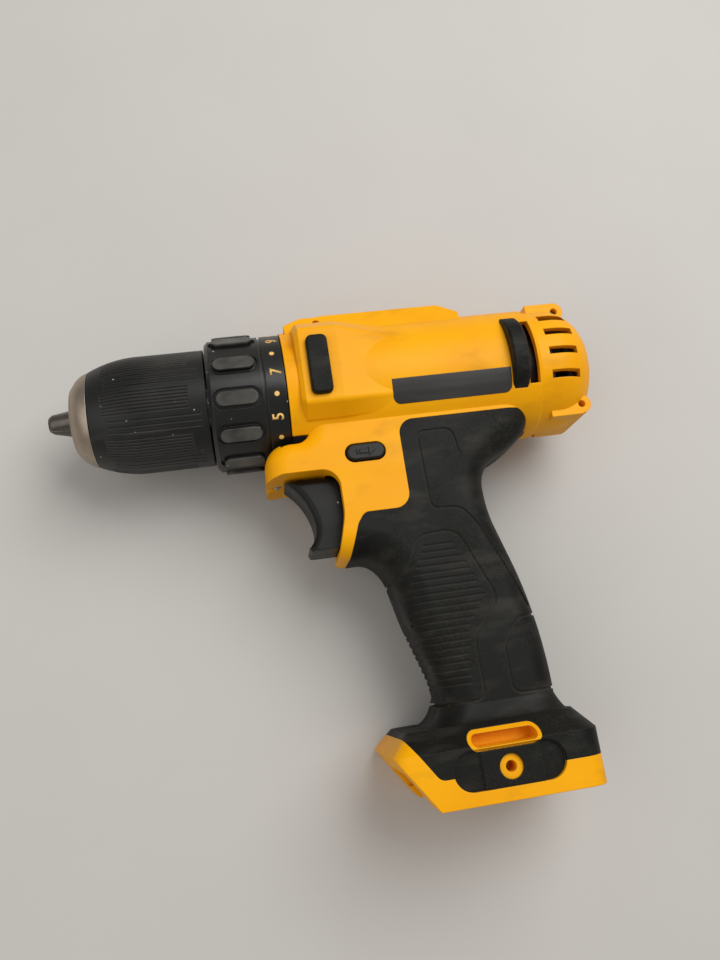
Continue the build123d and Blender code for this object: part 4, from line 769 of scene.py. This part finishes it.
@dataclass
class RatingPlate:
    """Bare dark plate on the barrel, square at its top corners and rounded at its lower ones.

    Args:
        start_x: front end.
        end_x: rear end.
        low_y: lower edge.
        high_y: upper edge.
        corner: radius of the lower corners.
        proud: how far it stands out of the housing.
        strips: how many strips it is cut into to follow the barrel.
        smooth_angle: turn between two faces up to which they are shaded as one.
    """

    start_x: float = 114.3 * MM
    end_x: float = 155.0 * MM
    low_y: float = -12.5 * MM
    high_y: float = -4.6 * MM
    corner: float = 2.4 * MM
    proud: float = 0.12 * MM
    strips: int = 9
    smooth_angle: float = math.radians(25)

    def build(self, material: Material) -> None:
        """Makes the plate.

        Args:
            material: what it is made of.
        """
        length = self.end_x - self.start_x
        height = self.high_y - self.low_y
        bpy.ops.object.select_all(action="DESELECT")
        bpy.ops.mesh.primitive_plane_add(size=1)
        plate = bpy.context.object
        plate.name = "rating_plate"
        for vertex in plate.data.vertices:
            vertex.co = (
                self.start_x + (vertex.co.x + 0.5) * length,
                self.low_y + (vertex.co.y + 0.5) * height,
                0,
            )
        edit_all(plate)
        bpy.ops.mesh.select_all(action="DESELECT")
        close_edit()
        for vertex in plate.data.vertices:
            vertex.select = vertex.co.y < self.low_y + height / 2
        bpy.ops.object.mode_set(mode="EDIT")
        bpy.ops.mesh.select_mode(type="VERT")
        bpy.ops.mesh.bevel(offset=self.corner, segments=6, affect="VERTICES")
        for strip in range(1, self.strips):
            bpy.ops.mesh.select_all(action="SELECT")
            cut_y = self.low_y + height * strip / self.strips
            bpy.ops.mesh.bisect(plane_co=(0, cut_y, 0), plane_no=(0, 1, 0))
        close_edit()
        for vertex in plate.data.vertices:
            start = Vector((vertex.co.x, vertex.co.y, CLEAR_OF_HEAD))
            vertex.co.z = surface_point("housing_left", start, Vector((0, 0, -1))).z + self.proud
        solid = plate.modifiers.new("thickness", "SOLIDIFY")
        solid.thickness = 3 * self.proud
        solid.offset = -1
        bpy.ops.object.modifier_apply(modifier=solid.name)
        bpy.ops.object.shade_smooth_by_angle(angle=self.smooth_angle)
        hand_over(plate, "body", material)


@dataclass
class ButtonArrow:
    """Raised arrow on each end of the direction button: a tail block, a shaft and a head.

    Args:
        length: length over all.
        tail_length: length of the tail block.
        gap: gap between the tail block and the shaft.
        shaft: width of the shaft and the tail block.
        head: width of the head.
        head_length: length of the head.
        proud: how far it stands out of the button.
        depth: how far it reaches into the button.
        tip: width of the head's blunted tip.
        edge: how far the edges are broken.
    """

    length: float = 6.2 * MM
    tail_length: float = 0.7 * MM
    gap: float = 0.35 * MM
    shaft: float = 1.5 * MM
    head: float = 3.1 * MM
    head_length: float = 2.2 * MM
    proud: float = 0.35 * MM
    depth: float = 0.3 * MM
    tip: float = 0.1 * MM
    edge: float = 0.12 * MM

    def bar(self, start: float, end: float, start_width: float, end_width: float) -> Object:
        """Makes one flat bar of the arrow, lengthwise along X.

        Args:
            start: where it starts.
            end: where it ends.
            start_width: its width there.
            end_width: its width at the end.

        Returns:
            The bar, closed and with its edges broken.
        """
        bpy.ops.object.select_all(action="DESELECT")
        bpy.ops.mesh.primitive_plane_add(size=1)
        bar = bpy.context.object
        for vertex in bar.data.vertices:
            at_end = vertex.co.x > 0
            width = end_width if at_end else start_width
            vertex.co = (end if at_end else start, math.copysign(width / 2, vertex.co.y), 0)
        edit_all(bar)
        bpy.ops.mesh.extrude_region_move(TRANSFORM_OT_translate={"value": (0, 0, self.proud + self.depth)})
        bpy.ops.mesh.select_all(action="SELECT")
        bpy.ops.mesh.remove_doubles(threshold=0.02 * MM)
        bpy.ops.mesh.normals_make_consistent(inside=False)
        close_edit()
        rounding = bar.modifiers.new("broken_edges", "BEVEL")
        rounding.width = self.edge
        rounding.segments = 2
        bpy.ops.object.modifier_apply(modifier=rounding.name)
        return bar

    def build(self, material: Material) -> None:
        """Makes both arrows, the left one pointing to the rear and the right one to the front.

        Args:
            material: what they are moulded in.
        """
        low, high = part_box("direction_button")
        middle = (low + high) / 2
        shaft_start = self.tail_length + self.gap
        head_start = self.length - self.head_length
        arrows = []
        for side in (1, -1):
            bars = [
                self.bar(0, self.tail_length, self.shaft, self.shaft),
                self.bar(shaft_start, head_start + self.gap, self.shaft, self.shaft),
                self.bar(head_start, self.length, self.head, self.tip),
            ]
            arrow = join_as("button_arrow", bars)
            for vertex in arrow.data.vertices:
                along, across, out = vertex.co
                vertex.co = (
                    middle.x + side * (along - self.length / 2),
                    middle.y + across,
                    middle.z + side * (high.z - middle.z - self.depth + out),
                )
            arrows.append(arrow)
        hand_over(join_as("button_arrows", arrows), "button_body", material)


@dataclass
class ClutchIndex:
    """Moulded triangle on the housing's front edge that the clutch scale is read against.

    Args:
        degrees: where it stands, from +Y towards +Z.
        tip_x: where its tip is along the spindle.
        length: its length.
        width: its width at the rear.
        proud: how far it stands out of the housing.
    """

    degrees: float = 9.0
    tip_x: float = 80.5 * MM
    length: float = 3.0 * MM
    width: float = 2.6 * MM
    proud: float = 0.3 * MM

    def build(self, material: Material) -> None:
        """Makes the mark.

        Args:
            material: what it is moulded in.
        """
        bpy.ops.object.select_all(action="DESELECT")
        bpy.ops.mesh.primitive_circle_add(vertices=3, radius=1, fill_type="NGON")
        mark = bpy.context.object
        mark.name = "clutch_index"
        top = max(vertex.co.y for vertex in mark.data.vertices)
        for vertex in mark.data.vertices:
            is_tip = vertex.co.y > top - 0.1
            across = 0 if is_tip else math.copysign(self.width / 2, vertex.co.x)
            vertex.co = (self.tip_x + (0 if is_tip else self.length), across, 0)
        edit_all(mark)
        bpy.ops.mesh.subdivide(number_cuts=3)
        close_edit()
        out = Vector((0, math.cos(math.radians(self.degrees)), math.sin(math.radians(self.degrees))))
        along = Vector((0, -out.z, out.y))
        for vertex in mark.data.vertices:
            start = Vector((vertex.co.x, 0, 0)) + along * vertex.co.y + out * CLEAR_OF_HEAD
            vertex.co = surface_point("housing_left", start, -out) + out * self.proud
        solid = mark.modifiers.new("thickness", "SOLIDIFY")
        solid.thickness = 2 * self.proud
        solid.offset = 0
        bpy.ops.object.modifier_apply(modifier=solid.name)
        edit_all(mark)
        bpy.ops.mesh.normals_make_consistent(inside=False)
        close_edit()
        hand_over(mark, "body", material)


@dataclass
class HousingScrews:
    """Thread-forming screws that hold the housing halves together, with six-lobed drives.

    Args:
        places: where they stand along and up the drill.
        head_radius: radius of the head.
        head_height: height of the head.
        seat_z: where the head sits, across the drill.
        shank_radius: radius of the shank.
        shank_length: length of the shank.
        point_length: length of its tapered end.
        point_share: width of that end's tip, as a share of the shank's.
        rim: width of the head's lower rim.
        crown: how far the head's middle stands above that rim.
        drive_radius: middle radius of the drive.
        drive_depth: depth of the drive.
        lobe: how far a lobe reaches out of the middle radius, as a share of it.
        sides: how many sides the head has.
    """

    places: tuple[tuple[float, float], ...] = (
        (93.3 * MM, 23.0 * MM),
        (180.5 * MM, 20.5 * MM),
        (181.3 * MM, -17.0 * MM),
        (160.7 * MM, -131.4 * MM),
        (86.0 * MM, -26.2 * MM),
        (138.5 * MM, -27.0 * MM),
        (144.0 * MM, -97.0 * MM),
    )
    head_radius: float = 2.78 * MM
    head_height: float = 1.98 * MM
    seat_z: float = -5.0 * MM
    shank_radius: float = 1.24 * MM
    shank_length: float = 10.4 * MM
    point_length: float = 1.5 * MM
    point_share: float = 0.55
    rim: float = 0.35 * MM
    crown: float = 0.02 * MM
    drive_radius: float = 1.2 * MM
    drive_depth: float = 1.1 * MM
    lobe: float = 0.14
    sides: int = 48

    def ring_radius(self, point: Vector) -> float:
        """Gives a point's distance from the screw's own axis."""
        return math.hypot(point.x, point.y)

    def pick_face(self, screw: Object, direction: float) -> None:
        """Selects the outermost end face that looks up or down the screw's axis.

        Args:
            screw: the screw, along Z about the origin.
            direction: 1 for up and -1 for down.
        """
        bpy.ops.mesh.select_all(action="DESELECT")
        close_edit()
        ends = [face for face in screw.data.polygons if face.normal.z * direction > 0.9]
        last = max(ends, key=lambda face: (face.center.z * direction, -face.area))
        last.select = True
        bpy.ops.object.mode_set(mode="EDIT")
        bpy.ops.mesh.select_mode(type="FACE")

    def screw(self) -> Object:
        """Models one screw along Z, its head's seat at the origin and its drive facing down."""
        bpy.ops.object.select_all(action="DESELECT")
        bpy.ops.mesh.primitive_cylinder_add(
            vertices=self.sides,
            radius=self.head_radius,
            depth=self.head_height,
            location=(0, 0, -self.head_height / 2),
        )
        screw = bpy.context.object
        bpy.ops.object.transform_apply(location=True)
        edit_all(screw)
        self.pick_face(screw, 1)
        bpy.ops.mesh.inset(thickness=self.head_radius - self.shank_radius)
        for reach in (self.shank_length - self.point_length, self.point_length):
            bpy.ops.mesh.extrude_region_move(TRANSFORM_OT_translate={"value": (0, 0, reach)})
        bpy.ops.transform.resize(value=(self.point_share, self.point_share, 1))
        self.pick_face(screw, -1)
        bpy.ops.mesh.inset(thickness=self.rim)
        bpy.ops.transform.translate(value=(0, 0, -self.crown))
        bpy.ops.mesh.inset(thickness=self.head_radius - self.rim - self.drive_radius)
        close_edit()
        for vertex in screw.data.vertices:
            on_top = vertex.co.z < -self.head_height + 0.1 * MM
            if on_top and self.ring_radius(vertex.co) < self.drive_radius * 1.1:
                angle = math.atan2(vertex.co.y, vertex.co.x)
                reach = self.drive_radius * (1 + self.lobe * math.cos(6 * angle))
                vertex.co = (reach * math.cos(angle), reach * math.sin(angle), vertex.co.z)
        edit_all(screw)
        self.pick_face(screw, -1)
        bpy.ops.mesh.extrude_region_move(TRANSFORM_OT_translate={"value": (0, 0, self.drive_depth)})
        close_edit()
        return screw

    def build(self, material: Material) -> None:
        """Makes a screw at every place.

        Args:
            material: what they are made of.
        """
        first = self.screw()
        copies = []
        for x, y in self.places:
            copy = first.copy()
            copy.data = first.data.copy()
            bpy.context.collection.objects.link(copy)
            for vertex in copy.data.vertices:
                vertex.co = vertex.co + Vector((x, y, self.seat_z))
            copies.append(copy)
        bpy.data.objects.remove(first)
        screws = join_as("star_screws", copies)
        hand_over(screws, "body", material)
        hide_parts("housing_screws")


@dataclass
class PhotoCamera:
    """Camera at the photograph's viewing angle.

    Args:
        aim: point of the parting plane that the image's middle shows.
        turns: turns about X, Y and Z from looking straight down, in radians.
        distance: how far the camera stands from that point.
        focal_pixels: focal length in pixels of the image.
        image_height: height of the image in pixels.
        sensor_height: height of the camera's sensor in millimetres.
        nearest: nearest distance that is drawn.
    """

    aim: tuple[float, float, float] = (101.862 * MM, -31.771 * MM, 0.0)
    turns: tuple[float, float, float] = (-0.239, 0.130, 0.120)
    distance: float = 287.299 * MM
    focal_pixels: float = 831.863
    image_height: int = 960
    sensor_height: float = 36.0
    nearest: float = 10 * MM

    def build(self) -> None:
        """Makes the camera and looks through it."""
        about_x, about_y, about_z = self.turns
        into_camera = (
            Matrix.Rotation(about_z, 3, "Z")
            @ Matrix.Rotation(about_y, 3, "Y")
            @ Matrix.Rotation(about_x, 3, "X")
        )
        out_of_camera = into_camera.transposed()
        bpy.ops.object.camera_add()
        camera = bpy.context.object
        camera.matrix_world = Matrix.Translation(
            Vector(self.aim) + out_of_camera @ Vector((0, 0, self.distance))
        ) @ out_of_camera.to_4x4()
        camera.data.sensor_fit = "VERTICAL"
        camera.data.sensor_height = self.sensor_height
        camera.data.lens = self.focal_pixels * self.sensor_height / self.image_height
        camera.data.clip_start = self.nearest
        bpy.context.scene.camera = camera


@dataclass
class Studio:
    """Plain pale floor and soft light.

    Args:
        floor_colour: colour of the floor.
        floor_size: its width.
        cloud_share: brightness of its faint clouds, as a share of its colour.
        middle: where the drill's middle is on the floor.
        sky: strength of the light from all round.
        sky_colour: colour of that light.
        key_place: where the large lamp hangs, above the drill's rear.
        key_size: its width.
        key_power: its watts.
        fill_place: where the lamp on the other side hangs.
        fill_size: its width.
        fill_power: its watts.
    """

    floor_colour: Colour = screen_colour(204, 201, 196)
    floor_size: float = 6.0
    cloud_share: float = 0.93
    middle: tuple[float, float] = (0.1, -0.06)
    sky: float = 0.34
    sky_colour: Colour = (1.0, 0.98, 0.95, 1.0)
    key_place: tuple[float, float, float] = (0.45, 0.30, 0.75)
    key_size: float = 0.7
    key_power: float = 6.2
    fill_place: tuple[float, float, float] = (-0.45, -0.15, 0.6)
    fill_size: float = 0.8
    fill_power: float = 1.5

    def floor(self) -> None:
        """Lays the floor under the drill."""
        sheet = FinishSheet("pale_floor")
        shade = tuple(self.cloud_share * value for value in self.floor_colour[:3]) + (1.0,)
        clouds = sheet.grain(60 * MM, 4)
        material = sheet.finish(
            Base_Color=sheet.blend(clouds, self.floor_colour, shade), Roughness=0.9, Specular_IOR_Level=0.1
        )
        bpy.ops.object.select_all(action="DESELECT")
        bpy.ops.mesh.primitive_plane_add(size=self.floor_size, location=(*self.middle, cad_box[0].z))
        floor = bpy.context.object
        floor.name = "floor"
        floor.data.materials.append(material)

    def lamp(self, name: str, place: tuple[float, float, float], size: float, power: float) -> None:
        """Hangs one soft square lamp that shines on the drill.

        Args:
            name: the lamp's name.
            place: where it hangs.
            size: its width.
            power: its watts.
        """
        bpy.ops.object.light_add(type="AREA", location=place)
        lamp = bpy.context.object
        lamp.name = name
        lamp.data.size = size
        lamp.data.energy = power
        aim = Vector((*self.middle, 0.0)) - Vector(place)
        lamp.rotation_euler = aim.to_track_quat("-Z", "Y").to_euler()

    def build(self) -> None:
        """Sets up the floor, the sky and the lamps."""
        self.floor()
        world = bpy.data.worlds.new("soft_sky")
        bpy.context.scene.world = world
        world.use_nodes = True
        sky = world.node_tree.nodes["Background"]
        sky.inputs["Color"].default_value = self.sky_colour
        sky.inputs["Strength"].default_value = self.sky
        self.lamp("key_lamp", self.key_place, self.key_size, self.key_power)
        self.lamp("fill_lamp", self.fill_place, self.fill_size, self.fill_power)
        bpy.context.scene.view_settings.view_transform = "Standard"


def dress_nodes(finishes: dict[str, Material]) -> None:
    """Gives every CAD node its own finish, or else the finish of its slot.

    Args:
        finishes: the built material of each slot.
    """
    own = {node: finish.build() for node, finish in NODE_FINISHES.items()}
    for subpart in frame["record"]["subparts"]:
        name = subpart["node"]
        material = own.get(name, finishes[subpart["material_slot"]])
        for slot in frame["nodes"][name].material_slots:
            slot.material = material
        log.info("node %s dressed in %s", name, material.name)


def main() -> None:
    """Builds the finishes, the added pieces and the studio, in order."""
    logging.basicConfig(level=logging.INFO)
    finishes = {slot: finish.build() for slot, finish in SLOT_FINISHES.items()}
    dress_nodes(finishes)
    ink = MouldedPlastic(
        "yellow_print",
        screen_colour(250, 206, 122),
        screen_colour(240, 190, 100),
        DUST,
        BLACK_DUST,
        0.6,
        dirty=0,
    ).build()
    ClutchScale().build(ink)
    plate = MouldedPlastic(
        "dark_plate",
        screen_colour(48, 46, 44),
        screen_colour(55, 53, 51),
        screen_colour(112, 108, 102),
        BLACK_DUST,
        0.4,
    ).build()
    RatingPlate().build(plate)
    ButtonArrow().build(finishes["black_plastic"])
    ClutchIndex().build(finishes["housing_plastic"])
    HousingScrews().build(finishes["dark_screw"])
    PhotoCamera().build()
    Studio().build()


if __name__ == "__main__":
    main()
